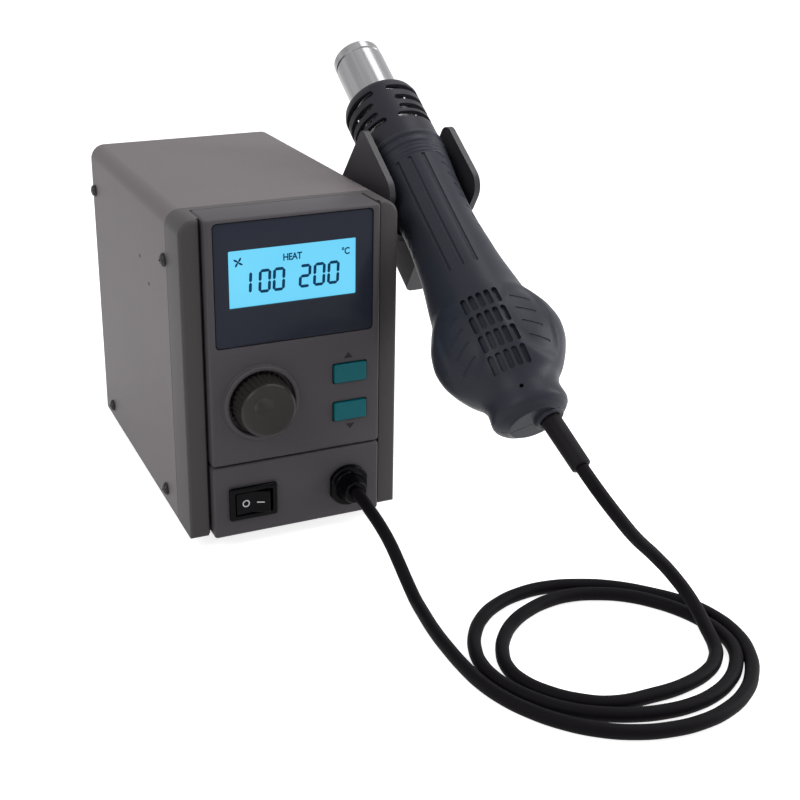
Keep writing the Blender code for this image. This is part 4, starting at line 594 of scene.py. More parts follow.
figures = figure(-0.0243 + 0.0002, "bc")
for left, lit in ((-0.0157, "abcdef"), (-0.0094, "abcdef"), (0.0023, "abged"), (0.0088, "abcdef"),
                  (0.0152, "abcdef")):
    figures += figure(left, lit)
figures = gather(figures)
for vert in figures.verts:
    vert.co.x += (vert.co.y - FIGURE_BASE - FIGURE[1] / 2) * FIGURE_LEAN
add_piece(figures, "display_figures", segment_ink, "station", "lit_display")

FAN_PLACE = (-0.02445, 0.1250)
FAN_SIZE = 0.0022
blades = [peg(FAN_SIZE * 0.16, 0, INK_HEIGHT, FAN_PLACE, 16)]
for quarter in range(4):
    blade = peg(FAN_SIZE * 0.48, 0, INK_HEIGHT, (0, 0), 16)
    bmesh.ops.scale(blade, vec=(1.0, 0.42, 1.0), verts=blade.verts)
    turn = turned(90 * quarter + 35, "Z")
    shift = shifted(FAN_SIZE * 0.55, FAN_SIZE * 0.2, 0) @ turned(25, "Z")
    blades.append(moved(blade, shifted(*FAN_PLACE, 0) @ turn @ shift))
fan_sign = moved(gather(blades), shifted(0, 0, lcd_face))
add_piece(fan_sign, "fan_sign", segment_ink, "station", "lit_display")
letters("HEAT", -0.0004, 0.1250, LETTER_HEIGHT, "heat_sign")
letters("°C", 0.02366, 0.1247, LETTER_HEIGHT, "degree_sign")

# The knob turns in a raised collar. It is a black ABS moulding with 34 fine ribs round its
# flank, a smooth rounded face, and a dimple for a fingertip.
KNOB_FACE = 0.0117
KNOB_BASE_RADIUS = 0.0138
KNOB_FACE_RADIUS = 0.0114
KNOB_RIBS = 34
RIB_DEPTH = 0.0008
DIMPLE_RADIUS = 0.007
DIMPLE_PLACE = (-0.003, 0.0028, KNOB_FACE + 0.0058)
# Moulded ABS, worn smooth by fingers: black with a brown cast, glossier than the panel.
knob_plastic = moulded("matt_black_abs", "292625", "34302d", 0.34, 0.0005, 0.00002, 0.22)


def lathe(profile, steps, closed=False):
    """Turn a run of (radius, height) points about Z."""
    bm = bmesh.new()
    verts = [bm.verts.new((radius, 0, height)) for radius, height in profile]
    edges = [bm.edges.new(pair) for pair in zip(verts, verts[1:])]
    if closed:
        edges.append(bm.edges.new((verts[-1], verts[0])))
    bmesh.ops.spin(bm, geom=verts + edges, cent=(0, 0, 0), axis=(0, 0, 1), angle=2 * math.pi,
                   steps=steps, use_merge=True)
    bmesh.ops.remove_doubles(bm, verts=bm.verts, dist=1e-6)
    return bm


def fillet(centre_r, centre_z, radius, start, end, steps=5):
    """The points of a rounded edge on a turned profile; angles are in degrees."""
    angles = [math.radians(start + (end - start) * i / steps) for i in range(steps + 1)]
    return [(centre_r + radius * math.cos(a), centre_z + radius * math.sin(a)) for a in angles]


collar_inner = COLLAR_RADIUS - COLLAR_WALL
collar = lathe(
    [(collar_inner, -SHEET)] + fillet(collar_inner + 0.0005, COLLAR_HEIGHT - 0.0005, 0.0005, 180, 90)
    + fillet(COLLAR_RADIUS - 0.0012, COLLAR_HEIGHT - 0.0012, 0.0012, 90, 0, 8)
    + [(COLLAR_RADIUS, 0.0004), (COLLAR_RADIUS + 0.0003, 0), (COLLAR_RADIUS + 0.0003, -SHEET)], 128, True)
at_knob = front @ shifted(*KNOB_PLACE, 0)
add_piece(collar, "knob_collar", front_plastic, "station", "front_moulding", place=at_knob)

knob_low = -KNOB_POCKET + 2 * TINY
shoulder = KNOB_FACE - 0.0022
flank = [(KNOB_BASE_RADIUS + (KNOB_FACE_RADIUS + 0.0009 - KNOB_BASE_RADIUS) * i / 10,
          knob_low + (shoulder - knob_low) * i / 10) for i in range(11)]
profile = [(0, knob_low)] + flank + fillet(KNOB_FACE_RADIUS - 0.0012, KNOB_FACE - 0.0021, 0.0021, 4, 90, 8)
profile += [(KNOB_FACE_RADIUS * 0.5, KNOB_FACE), (0, KNOB_FACE)]
knob = lathe(profile, KNOB_RIBS * 6)
for vert in knob.verts:
    radius = math.hypot(vert.co.x, vert.co.y)
    if vert.co.z < shoulder + 1e-5 and radius > KNOB_FACE_RADIUS:
        angle = math.atan2(vert.co.y, vert.co.x)
        fade = min(1, (shoulder + 1e-5 - vert.co.z) / 0.0006)
        depth = RIB_DEPTH * fade * (0.5 - 0.5 * math.cos(KNOB_RIBS * angle))
        vert.co.x *= 1 - depth / radius
        vert.co.y *= 1 - depth / radius
dimple = bmesh.new()
bmesh.ops.create_uvsphere(dimple, u_segments=64, v_segments=48, radius=DIMPLE_RADIUS)
moved(dimple, Matrix.Translation(DIMPLE_PLACE))
knob = carve(knob, [dimple])
add_piece(knob, "knob_cap", knob_plastic, "knob", "knob_black", "knob", place=at_knob, sharp=50)

# The two push buttons are moulded teal silicone rubber, with eased edges, each in its own opening.
# Printed arrowheads above and below them say which way they step.
BUTTON_FACE = 0.0013
# Silicone rubber: a deep teal with a soft, waxy sheen and no sharp highlight.
button_rubber = moulded("teal_silicone", "045a62", "0c6c76", 0.42, 0.0008, 0.00002)
for name, (u, v) in BUTTONS.items():
    cap = slab(-BUTTON_HALF[0], -BUTTON_HALF[1], BUTTON_HALF[0], BUTTON_HALF[1], -0.006, BUTTON_FACE,
               0.0007, 0.0005, 4)
    add_piece(cap, name + "_cap", button_rubber, name, "button_teal", name,
              place=front @ shifted(u, v, 0))
ARROWS = {"arrow_up": (0.0241, 0.0778, 1), "arrow_down": (0.0251, 0.0439, -1)}
ARROW_SIZE = (0.0021, 0.0013)
# Pad-printed ink: flat and dull, a shade darker than the panel.
print_ink = moulded("pad_printed_ink", "1b191b", "232023", 0.6, 0.0005, 0.00001)


def extruded(bm, faces, rise):
    """Pull faces out into a solid, and return the new corners."""
    grown = bmesh.ops.extrude_face_region(bm, geom=faces)["geom"]
    corners = [item for item in grown if isinstance(item, bmesh.types.BMVert)]
    bmesh.ops.translate(bm, vec=(0, 0, rise), verts=corners)
    return corners


def prism(outline, low, high):
    """A flat outline made thick along Z."""
    bm = bmesh.new()
    sheet = bm.faces.new([bm.verts.new((x, y, low)) for x, y in outline])
    extruded(bm, [sheet], high - low)
    return bm


for name, (u, v, way) in ARROWS.items():
    wide, high = ARROW_SIZE[0], ARROW_SIZE[1] * way
    arrow = prism(((u - wide, v - high), (u + wide, v - high), (u, v + high)), 0, INK_HEIGHT)
    add_piece(arrow, name, print_ink, "station", "front_moulding")

# The power switch is a snap-in rocker in glossy black nylon, with a printed ring and bar.
# Its bezel is rounded, and the rocker is dished, with its right end up.
BEZEL_PROUD = 0.0021
ROCKER = (0.0076, 0.0052)
ROCKER_PIVOT = -0.0015
ROCKER_TILT = 9
ROCKER_ENDS = 0.0046
ROCKER_DIP = 0.0031
# Glossy nylon: black, with small bright highlights on its edges.
nylon = moulded("glossy_nylon", "030306", "08080b", 0.18, 0.002, 0.00001, 0.07)
bezel = slab(-BEZEL[0] / 2, -BEZEL[1] / 2, BEZEL[0] / 2, BEZEL[1] / 2, TINY, BEZEL_PROUD, 0.001, 0.0008, 4)
body = box((-hole[0] + TINY, -hole[1] + TINY, -0.0165), (hole[0] - TINY, hole[1] - TINY, 0.0006))
bezel = carve(bezel, [body], "UNION")
bezel = carve(bezel, [slab(-ROCKER[0] - 0.001, -ROCKER[1] - TINY, ROCKER[0] + 0.001, ROCKER[1] + TINY,
                           -0.0095, FAR, 0.0006, steps=3)])
at_switch = front @ shifted(*SWITCH_PLACE, 0)
add_piece(bezel, "switch_bezel", nylon, "station", "switch_black", "switch_housing", place=at_switch,
          ease=0.0003)
rocker = bmesh.new()
bmesh.ops.create_grid(rocker, x_segments=2, y_segments=1, size=1)
for vert in rocker.verts:
    dip = ROCKER_DIP if abs(vert.co.x) < 0.5 else ROCKER_ENDS
    vert.co = (vert.co.x * ROCKER[0], vert.co.y * ROCKER[1], dip)
for vert in extruded(rocker, list(rocker.faces), 0):
    vert.co.z = -0.005 if abs(vert.co.x) < 0.001 else -0.0005
bmesh.ops.bevel(rocker, geom=[e for e in rocker.edges if all(v.co.z > 0 for v in e.verts)
                              and not all(abs(v.co.x) < 1e-5 for v in e.verts)],
                offset=0.0005, offset_type="OFFSET", affect="EDGES", segments=4, profile=0.5, material=-1,
                clamp_overlap=True)
tilted = at_switch @ shifted(0, 0, ROCKER_PIVOT) @ turned(-ROCKER_TILT, "Y")
add_piece(rocker, "rocker_cap", nylon, "rocker", "switch_black", "power_rocker", place=tilted)

# White print: the brightest thing on the black rocker, and flat.
mark_ink = moulded("white_print", "d8dade", "e6e8ea", 0.5, 0.0005, 0.00001)
slope = math.atan2(ROCKER_ENDS - ROCKER_DIP, ROCKER[0])
for name, x, side in (("mark_off", -0.0031, 1), ("mark_on", 0.0034, -1)):
    height = ROCKER_DIP + abs(x) * math.tan(slope)
    spot = tilted @ shifted(x, 0, height) @ Matrix.Rotation(side * slope, 4, "Y")
    if side > 0:
        mark = lathe([(0.0012, 0), (0.0012, INK_HEIGHT), (0.0017, INK_HEIGHT), (0.0017, 0)], 48, True)
    else:
        mark = box((-0.0017, -0.00025, 0), (0.0017, 0.00025, INK_HEIGHT))
    add_piece(mark, name, mark_ink, "rocker", "switch_black", place=spot)

# The gland clamps the cord where it enters the case. It is moulded in the same glossy nylon: a
# flange with two flats, and a boss that tapers to the cord.
GLAND_RADIUS = 0.0096
GLAND_FLAT = 0.00875
GLAND_PLATE = 0.003
GLAND_LENGTH = 0.0105
flange = peg(GLAND_RADIUS, TINY, GLAND_PLATE, steps=96)
for side in (-1, 1):
    sliced = bmesh.ops.bisect_plane(flange, geom=everything(flange), plane_co=(side * GLAND_FLAT, 0, 0),
                                    plane_no=(side, 0, 0), clear_outer=True)
    rim = [item for item in sliced["geom_cut"] if isinstance(item, bmesh.types.BMEdge)]
    bmesh.ops.contextual_create(flange, geom=rim)
round_off(flange, level_with(flange, Z, GLAND_PLATE), 0.0008, 4)
bore = CORD_RADIUS + TINY
boss = lathe([(bore, -0.004), (0.0062, -0.004), (0.0076, GLAND_PLATE - 0.0004),
              (0.0071, GLAND_PLATE + 0.0002), (0.0067, GLAND_PLATE + 0.001), (0.0053, GLAND_LENGTH - 0.0008)]
             + fillet(0.0045, GLAND_LENGTH - 0.0008, 0.0008, 0, 90) + [(bore, GLAND_LENGTH)], 96, True)
at_gland = front @ shifted(*GLAND_PLACE, 0)
flange = carve(flange, [peg(0.0058, -FAR, FAR, steps=48)])
add_piece(gather([flange, boss]), "gland_moulding", nylon, "station", "switch_black", "cord_gland",
          place=at_gland)

# The cover is held by four pan head screws on each side, and the holder by two, all blackened
# steel with a cross recess.
COVER_SCREWS = ((0.1587, 0.122), (0.0273, 0.122), (0.1478, 0.0073), (0.0422, 0.0073))
HEAD_RADIUS = 0.003
HEAD_HEIGHT = 0.0019


def metal(name, low, high, smooth, rough, scale, seat=Matrix(), metallic=1.0):
    """Bare metal, marked along the axes of its seat; also returns its shader and the marks."""
    material, shader = new_material(name, Metallic=metallic)
    place = add_node(material, "TexCoord").outputs["Object"]
    seated = add_node(material, "Mapping", {"Vector": place, "Location": seat.to_translation(),
                                            "Rotation": seat.to_euler()}, vector_type="TEXTURE")
    stretched = add_node(material, "Mapping", {"Vector": seated.outputs["Vector"], "Scale": scale})
    marks = mottle(material, shader.inputs["Base Color"], low, high, 1, place=stretched.outputs["Vector"])
    level = add_node(material, "MapRange", {"Value": marks, "To Min": smooth, "To Max": rough})
    link(material, level.outputs["Result"], shader.inputs["Roughness"])
    return material, shader, marks


# Blackened steel: nearly black, with a satin gleam on the domed head.
black_steel, *_ = metal("blackened_steel", "0c0b0d", "19181b", 0.25, 0.42, (900, 900, 900), metallic=0.3)


def screw_head(length):
    """A pan head screw along Z, with a cross recess."""
    dome = [(0, HEAD_HEIGHT)] + [
        (HEAD_RADIUS * math.sin(a) ** 0.8, HEAD_HEIGHT * math.cos(a) ** 0.8)
        for a in (math.radians(15 * i) for i in range(1, 6))]
    head = lathe(dome + [(HEAD_RADIUS, 0), (0.0015, 0), (0.0015, -length), (0, -length)], 40)
    slot = (0.0015, 0.00032)
    return carve(head, [box((-slot[0], -slot[1], 0.0009), (slot[0], slot[1], FAR)),
                        box((-slot[1], -slot[0], 0.0009), (slot[1], slot[0], FAR))])


for number, (depth, height) in enumerate(COVER_SCREWS, 1):
    for side, sign in (("left", -1), ("right", 1)):
        spot = shifted(station.x + sign * (CASE_HALF + TINY), station.y + depth, cover_low.z + height)
        turn = turned(90 * sign, "Y") @ turned(20, "Z")
        name = side + "_" + str(number)
        add_piece(screw_head(0.006), "screw_" + name, black_steel, "station", "black_screw",
                  "cover_screw_" + name, place=spot @ turn)

# Four round rubber feet, pressed into the base, keep the case 6.5 mm above the table.
# Rubber: black, quite dull.
foot_rubber = moulded("black_rubber", "121113", "1a191b", 0.7, 0.0008, 0.00003)
for name in ("foot_front_left", "foot_front_right", "foot_rear_left", "foot_rear_right"):
    low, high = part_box(name)
    radius = (high.x - low.x) / 2
    height = high.z - low.z
    foot = lathe([(0, 0)] + fillet(radius - 0.0015, 0.001, 0.001, -90, 0)
                 + [(radius, height), (0, height)], 48)
    add_piece(foot, name + "_rubber", foot_rubber, "station", "rubber_black", name,
              place=shifted((low.x + high.x) / 2, (low.y + high.y) / 2, low.z))

# The holder is a saddle in dark grey nylon: a half pipe with two ears, a flat wall on two lugs
# that screw to the case, and a hollow beam below that holds the magnet for the rest switch.
AXIS = (0.0745, 0.060, 0.16203)
AXIS_TILT = 33.2
HOLDER_INNER = 0.0197
HOLDER_WALL = 0.0028
HOLDER_DEEP = 0.0187
HOLDER_TOP = -0.002
HOLDER_END = -0.043
HOLDER_RIM = -0.014
EAR_RADIUS = 0.0065
TIP_RADIUS = 0.003
HEEL_RADIUS = 0.008
WALL_SLOPE = 0.136
HOLDER_SCREWS = (0.0151, 0.0322)
SCREW_DROP = 0.0423
WALL_END = 0.0498
LUG_RADIUS = 0.005
BEAM = (0.0055, 0.0193, 0.043, -0.014, -0.0545)
cradle = Matrix.Translation(station + Vector(AXIS)) @ turned(AXIS_TILT - 90, "X")
# Glass-filled nylon: near black, dull, with a slight swirl from the moulding.
holder_nylon = moulded("filled_nylon", "2d2b30", "37353a", 0.4, 0.0008, 0.00003, 0.3)


def arc(centre, radius, start, end, steps):
    """Points on a part of a circle, by degrees."""
    angles = [math.radians(start + (end - start) * i / steps) for i in range(steps + 1)]
    return [(centre[0] + radius * math.cos(a), centre[1] + radius * math.sin(a)) for a in angles]


outer = HOLDER_INNER + HOLDER_WALL
bowl = (HOLDER_DEEP + HOLDER_WALL) / outer
section = [(x, y * bowl) for x, y in arc((0, 0), outer, 0, 180, 48)] + [(-outer, HOLDER_RIM)]
section += [(-HOLDER_INNER, HOLDER_RIM)]
section += [(x, y * HOLDER_DEEP / HOLDER_INNER) for x, y in arc((0, 0), HOLDER_INNER, 180, 0, 48)]
section += [(HOLDER_INNER, HOLDER_RIM), (outer, HOLDER_RIM)]
saddle = prism(section, HOLDER_END, HOLDER_TOP)
for side, height, radius in ((1, HOLDER_TOP, EAR_RADIUS), (-1, HOLDER_TOP, TIP_RADIUS),
                             (1, HOLDER_END, HEEL_RADIUS), (-1, HOLDER_END, HEEL_RADIUS)):
    corner = [e for e in running(saddle, X) if abs(e.verts[0].co.y - HOLDER_RIM) < 1e-6
              and abs(e.verts[0].co.z - height) < 1e-6 and e.verts[0].co.x * side > 0]
    round_off(saddle, corner, radius, 10)
wall_low = -HOLDER_SCREWS[1] - 0.0075
wall_start = HOLDER_RIM + TIP_RADIUS
wall_rise = WALL_SLOPE * (WALL_END - HOLDER_RIM)
side_wall = [(wall_start, WALL_SLOPE * TIP_RADIUS + HOLDER_TOP), (wall_start, HEEL_RADIUS + HOLDER_END)]
side_wall += arc((WALL_END - HEEL_RADIUS, wall_low + HEEL_RADIUS), HEEL_RADIUS, -90, 0, 10)
side_wall += arc((WALL_END - 0.002, wall_rise + HOLDER_TOP - 0.0025), 0.002, 0, 82, 5)
sideways = turned(90, "Z") @ turned(90, "X")
lug_low = CASE_HALF + TINY - AXIS[0]
half, lower, drop, top, end = BEAM
beam = box((-half, lower, end), (half, drop, top))
round_off(beam, [e for e in running(beam, Z) if e.verts[0].co.y > drop - 1e-6], 0.0035, 6)
tools = [moved(prism(side_wall, -outer, -HOLDER_INNER), sideways), beam]
tools += [moved(peg(LUG_RADIUS, lug_low, -outer + SHEET, (SCREW_DROP, -s), 40), sideways)
          for s in HOLDER_SCREWS]
saddle = carve(saddle, tools, "UNION")
pocket = (half - 0.002, lower + HOLDER_WALL, drop - 0.002)
saddle = carve(saddle, [box((-pocket[0], pocket[1], end + 0.002), (pocket[0], pocket[2], FAR))]
               + [moved(peg(0.0018, lug_low - FAR, FAR - HOLDER_INNER, (SCREW_DROP, -s)), sideways)
                  for s in HOLDER_SCREWS])
add_piece(saddle, "holder_saddle", holder_nylon, "station", "holder_grey", "handset_holder", place=cradle,
          ease=0.0006)
for number, s in enumerate(HOLDER_SCREWS, 1):
    name = "holder_screw_" + str(number)
    spot = cradle @ shifted(TINY - HOLDER_INNER, SCREW_DROP, -s) @ turned(90, "Y")
    add_piece(screw_head(0.0095), name + "_steel", black_steel, "station", "black_screw", name, place=spot)

# The handset is two moulded shells in slate grey ABS that meet in a fine parting line. The front
# one has three long grooves, nicks down its sides, a grille of twenty vents with a small hole
# below, and on each cheek a shallow scoop with four finger nicks.
HANDSET_ROLL = -26
HALF_WIDTHS = (
    (0.003, 0.0184), (0.018, 0.0182), (0.035, 0.0170), (0.054, 0.0164), (0.076, 0.0178), (0.092, 0.0201),
    (0.0996, 0.0213), (0.1066, 0.0244), (0.115, 0.0275), (0.122, 0.0285), (0.128, 0.0277), (0.134, 0.0254),
    (0.1408, 0.0213), (0.1455, 0.0173), (0.1497, 0.0160), (0.1557, 0.0165), (0.1588, 0.0143),
    (0.1608, 0.0110),
)
HALF_DEPTHS = (
    (0.003, 0.0184), (0.018, 0.0182), (0.035, 0.0170), (0.054, 0.0164), (0.076, 0.0173), (0.092, 0.0182),
    (0.1066, 0.0197), (0.115, 0.0206), (0.124, 0.0209), (0.134, 0.0198), (0.1408, 0.0180), (0.1455, 0.0164),
    (0.1497, 0.0156), (0.1557, 0.0154), (0.1588, 0.0136), (0.1608, 0.0105),
)
REAR_BULGES = ((0.003, 0), (0.072, 0), (0.085, 0.0011), (0.098, 0.0021), (0.112, 0.0009), (0.125, 0.0004),
               (0.150, 0), (0.1608, 0))
# The rings at the shells' mouth, as (place, depth) pairs: a raised lip, a band, and four fine grooves.
MOUTH_RINGS = (
    (0.0093, -0.0001), (0.0098, -0.0005), (0.0112, -0.0005), (0.0121, 0.0003), (0.0128, 0.0002),
    (0.0135, -0.0003), (0.0156, -0.0003), (0.0166, 0.0004), (0.0177, -0.0001), (0.0189, 0.0004),
    (0.0200, -0.0001), (0.0210, 0.0004), (0.0221, -0.0001), (0.0231, 0.0004), (0.0240, 0),
)
MOUTH_END = 0.0240
MOUTH_STEP = 0.00035
SHELL_TOP = 0.0093
SHELL_END = 0.1608
SHELL_WALL = 0.0022
ROW_STEP = 0.00125
TAIL_START = 0.156
COLUMNS = 72
# Scoops: the middle's place, the half length, the place across, the inner and outer half widths, and
# the depth.
SCOOP = (0.122, 0.0205, 0.0185, 0.0135, 0.0058, 0.0011)
HAND_GROOVES = (-0.006, 0.0, 0.0063)
GROOVES_END = 0.0885
# Nicks: how many, the first one's place and the next one's distance down the handset, then the
# first one's place and the next one's distance across, each one's own run, and its radius.
CHEEK_NICKS = (4, 0.1106, 0.00687, 0.0117, 0, 0.0073, 0.0036, 0.0005)
SIDE_NICKS = (8, 0.023, 0.006, 0.0125, 0.00035, 0.0024, 0.0030, 0.0006)
# Vents: the first row's place, the rows' spacing, the columns' spacing, and a slot's length and width.
VENT = (0.10515, 0.00987, 0.0035, 0.0082, 0.0023)
VENT_DEPTH = 0.0016
handset = cradle @ turned(HANDSET_ROLL, "Z")
# Slate ABS: a cool blue-grey with a fine spark-eroded texture, about 0.5 mm, so it shines softly.
shell_plastic = moulded("slate_abs", "2a2b33", "32343d", 0.42, 0.0005, 0.00002, 0.14)


def along(keys, s):
    """Read a smooth curve through (place, size) pairs, with no overshoot between them."""
    for i in range(len(keys) - 1):
        if s <= keys[i + 1][0]:
            break
    slopes = []
    for k in (i, i + 1):
        before, here, after = keys[max(k - 1, 0)], keys[k], keys[min(k + 1, len(keys) - 1)]
        rise_in = (here[1] - before[1]) / (here[0] - before[0]) if k > 0 else 0
        rise_out = (after[1] - here[1]) / (after[0] - here[0]) if k < len(keys) - 1 else 0
        slopes.append(0 if rise_in * rise_out <= 0 else 2 * rise_in * rise_out / (rise_in + rise_out))
    (s0, size0), (s1, size1) = keys[i], keys[i + 1]
    step = s1 - s0
    t = (s - s0) / step
    return (size0 * (1 + 2 * t) * (1 - t) ** 2 + slopes[0] * step * t * (1 - t) ** 2
            + size1 * t * t * (3 - 2 * t) + slopes[1] * step * t * t * (t - 1))


def soft_step(value):
    """A smooth rise from 0 to 1."""
    value = min(1, max(0, value))
    return value * value * (3 - 2 * value)


def skin(s, angle):
    """A point of the handset's skin; angle 0 is its right side and -90 degrees its front."""
    sink = along(MOUTH_RINGS, s) if s < MOUTH_END else 0
    bulge = along(REAR_BULGES, s) * math.sin(2 * angle)
    wide = along(HALF_WIDTHS, s) + (bulge if math.cos(angle) > 0 else -bulge)
    deep = along(HALF_DEPTHS, s)
    if math.sin(angle) < 0:
        middle, half_length, place, inner_width, outer_width, depth = SCOOP
        across = abs(wide * math.cos(angle)) - place
        across /= outer_width if across > 0 else inner_width
        reach = 1 - ((s - middle) / half_length) ** 2 - across ** 2
        sink += depth * soft_step(2.2 * reach)
    return Vector(((wide - sink) * math.cos(angle), (deep - sink) * math.sin(angle), -s))


rows = []
s = SHELL_TOP
while s < SHELL_END - MOUTH_STEP:
    rows.append(s)
    s += ROW_STEP if MOUTH_END < s < TAIL_START else MOUTH_STEP
rows.append(SHELL_END)


def shell_half(side):
    """One half of the handset's skin with its wall; side is -1 for the front half."""
    bm = bmesh.new()
    bmesh.ops.create_grid(bm, x_segments=COLUMNS, y_segments=len(rows) - 1, size=1)
    tail = []
    for vert in bm.verts:
        column = (vert.co.x + 1) / 2
        row = round((vert.co.y + 1) / 2 * (len(rows) - 1))
        if row == len(rows) - 1:
            tail.append(vert)
        vert.co = skin(rows[row], side * math.pi * column)
        vert.co.y = side * max(side * vert.co.y, TINY / 2)
    cap = [e for e in bm.edges if e.verts[0] in tail and e.verts[1] in tail]
    ends = sorted(tail, key=lambda vert: vert.co.x)
    cap.append(bm.edges.new((ends[0], ends[-1])))
    bmesh.ops.contextual_create(bm, geom=cap)
    bmesh.ops.recalc_face_normals(bm, faces=bm.faces)
    bm.faces.ensure_lookup_table()
    if bm.faces[COLUMNS // 2].normal.y * side < 0:
        bmesh.ops.reverse_faces(bm, faces=bm.faces)
    return applied(bm, "SOLIDIFY", thickness=SHELL_WALL, offset=-1, use_even_offset=True)


def wrap(bm):
    """Lay a flat tool, drawn in X and Z with Y inwards, on the handset's front skin."""
    for vert in bm.verts:
        s = min(max(-vert.co.z, SHELL_TOP), SHELL_END)
        wide = along(HALF_WIDTHS, s)
        for _ in range(4):
            angle = -math.acos(max(-0.98, min(0.98, vert.co.x / wide)))
            wide = skin(s, angle).x / math.cos(angle) if abs(math.cos(angle)) > 0.01 else wide
        vert.co.y += skin(s, angle).y
    return bm


def stroke(start, end, radius, sunk):
    """A round-bottomed groove between two (x, s) places on the skin."""
    run = Vector((end[0] - start[0], 0, start[1] - end[1]))
    length = run.length
    bm = peg(radius, 0, length, steps=14)
    pieces = max(2, round(length / 0.003))
    for i in range(1, pieces):
        bmesh.ops.bisect_plane(bm, geom=everything(bm), plane_co=(0, 0, length * i / pieces),
                               plane_no=(0, 0, 1))
    moved(bm, run.to_track_quat("Z", "Y").to_matrix().to_4x4())
    moved(bm, shifted(start[0], sunk, -start[1]))
    return wrap(bm)


tools = []
top, row_step, pitch, length, width = VENT
for row in range(4):
    for column in range(5):
        x = (column - 2) * pitch
        low = -top - row * row_step - length
        slot = slab(x - width / 2, low, x + width / 2, low + length, -VENT_DEPTH, 0.003, width * 0.47,
                    steps=5)
        tools.append(wrap(moved(slot, turned(90, "X"))))
hole_s = top + 3 * row_step + length + 0.00784
tools.append(wrap(moved(peg(0.0009, -0.004, 0.003, (0, -hole_s), 20), turned(90, "X"))))
for x in HAND_GROOVES:
    tools.append(stroke((x, MOUTH_END), (x, GROOVES_END), 0.0009, -0.0002))
for count, start, step, x, outwards, across, down, radius in (CHEEK_NICKS, SIDE_NICKS):
    for i in range(count):
        begin = (x + i * outwards, start + i * step)
        for side in (-1, 1):
            tools.append(stroke((side * begin[0], begin[1]), (side * (begin[0] + across), begin[1] + down),
                                radius, -0.0001))
front_shell = carve(shell_half(-1), tools)
add_piece(front_shell, "shell_front", shell_plastic, "handset", "handset_slate", "handset_shell_front",
          place=handset, sharp=38)
add_piece(shell_half(1), "shell_rear", shell_plastic, "handset", "handset_slate", "handset_shell_rear",
          place=handset, sharp=38)

# The heat guard is moulded in the same ABS as one cup, with four rings of open slots, so that the
# hand never meets the hot barrel. It is held in the shells' mouth.
GUARD_RADIUS = 0.0183
GUARD_WALL = 0.002
GUARD_TOP = 0.0256
GUARD_FOOT = -0.0092
GUARD_SLOT = 0.0016
GUARD_SLOTS = ((0.0189, 0.0046), (0.0122, 0.0067), (0.0061, 0.0067), (0.0010, 0.0042))
GUARD_SLOT_END = 150
GUARD_TURN = 3
BARREL_RADIUS = 0.012
# The same ABS, a shade more neutral: half matt, with a soft highlight along the ribs.
guard_plastic = moulded("guard_abs", "2a2a31", "323239", 0.42, 0.0005, 0.00002, 0.12)
throat = BARREL_RADIUS + 0.0008
guard_inner = GUARD_RADIUS - GUARD_WALL
profile = [(throat, GUARD_TOP - 0.0007)] + fillet(throat + 0.0007, GUARD_TOP - 0.0007, 0.0007, 180, 90, 4)
profile += fillet(GUARD_RADIUS - 0.0022, GUARD_TOP - 0.0015, 0.0015, 90, 20, 6)
profile += [(GUARD_RADIUS, GUARD_TOP - 0.0035), (GUARD_RADIUS, GUARD_FOOT), (guard_inner, GUARD_FOOT),
            (guard_inner, GUARD_TOP - 0.004), (throat, GUARD_TOP - 0.002)]
guard = lathe(profile, 144, True)
tools = []
for height, web in GUARD_SLOTS:
    start = math.degrees(math.asin(web / GUARD_RADIUS))
    for side in (-1, 1):
        sector = box((guard_inner - 0.002, -0.0001, height - GUARD_SLOT),
                     (GUARD_RADIUS + 0.002, 0.0001, height + GUARD_SLOT))
        bmesh.ops.delete(sector, geom=[f for f in sector.faces if abs(f.normal.y) < 0.5], context="FACES")
        bmesh.ops.delete(sector, geom=[v for v in sector.verts if v.co.y > 0], context="VERTS")
        begin = turned(-90 + GUARD_TURN + side * start, "Z")
        moved(sector, begin)
        sweep = math.radians(side * (GUARD_SLOT_END - start))
        bmesh.ops.spin(sector, geom=everything(sector), cent=(0, 0, 0), axis=(0, 0, 1), angle=sweep, steps=40)
        tools.append(sector)
        for angle in (start, GUARD_SLOT_END):
            turn = turned(-90 + GUARD_TURN + side * angle, "Z")
            nose = peg(GUARD_SLOT, guard_inner - 0.002, GUARD_RADIUS + 0.002, steps=20)
            moved(nose, shifted(0, 0, height) @ turn @ turned(90, "Y"))
            tools.append(nose)
guard = carve(guard, tools)
add_piece(guard, "slotted_guard", guard_plastic, "handset", "handset_slate", "heat_guard", place=handset)

# The barrel is a thin tube of stainless steel, turned and polished lengthwise, with a bead near
# its mouth for clamp-on nozzles.
BARREL_TIP = 0.0593
BARREL_WALL = 0.0006
BEAD_LENGTH = 0.0042
BARREL_FOOT = -0.0065
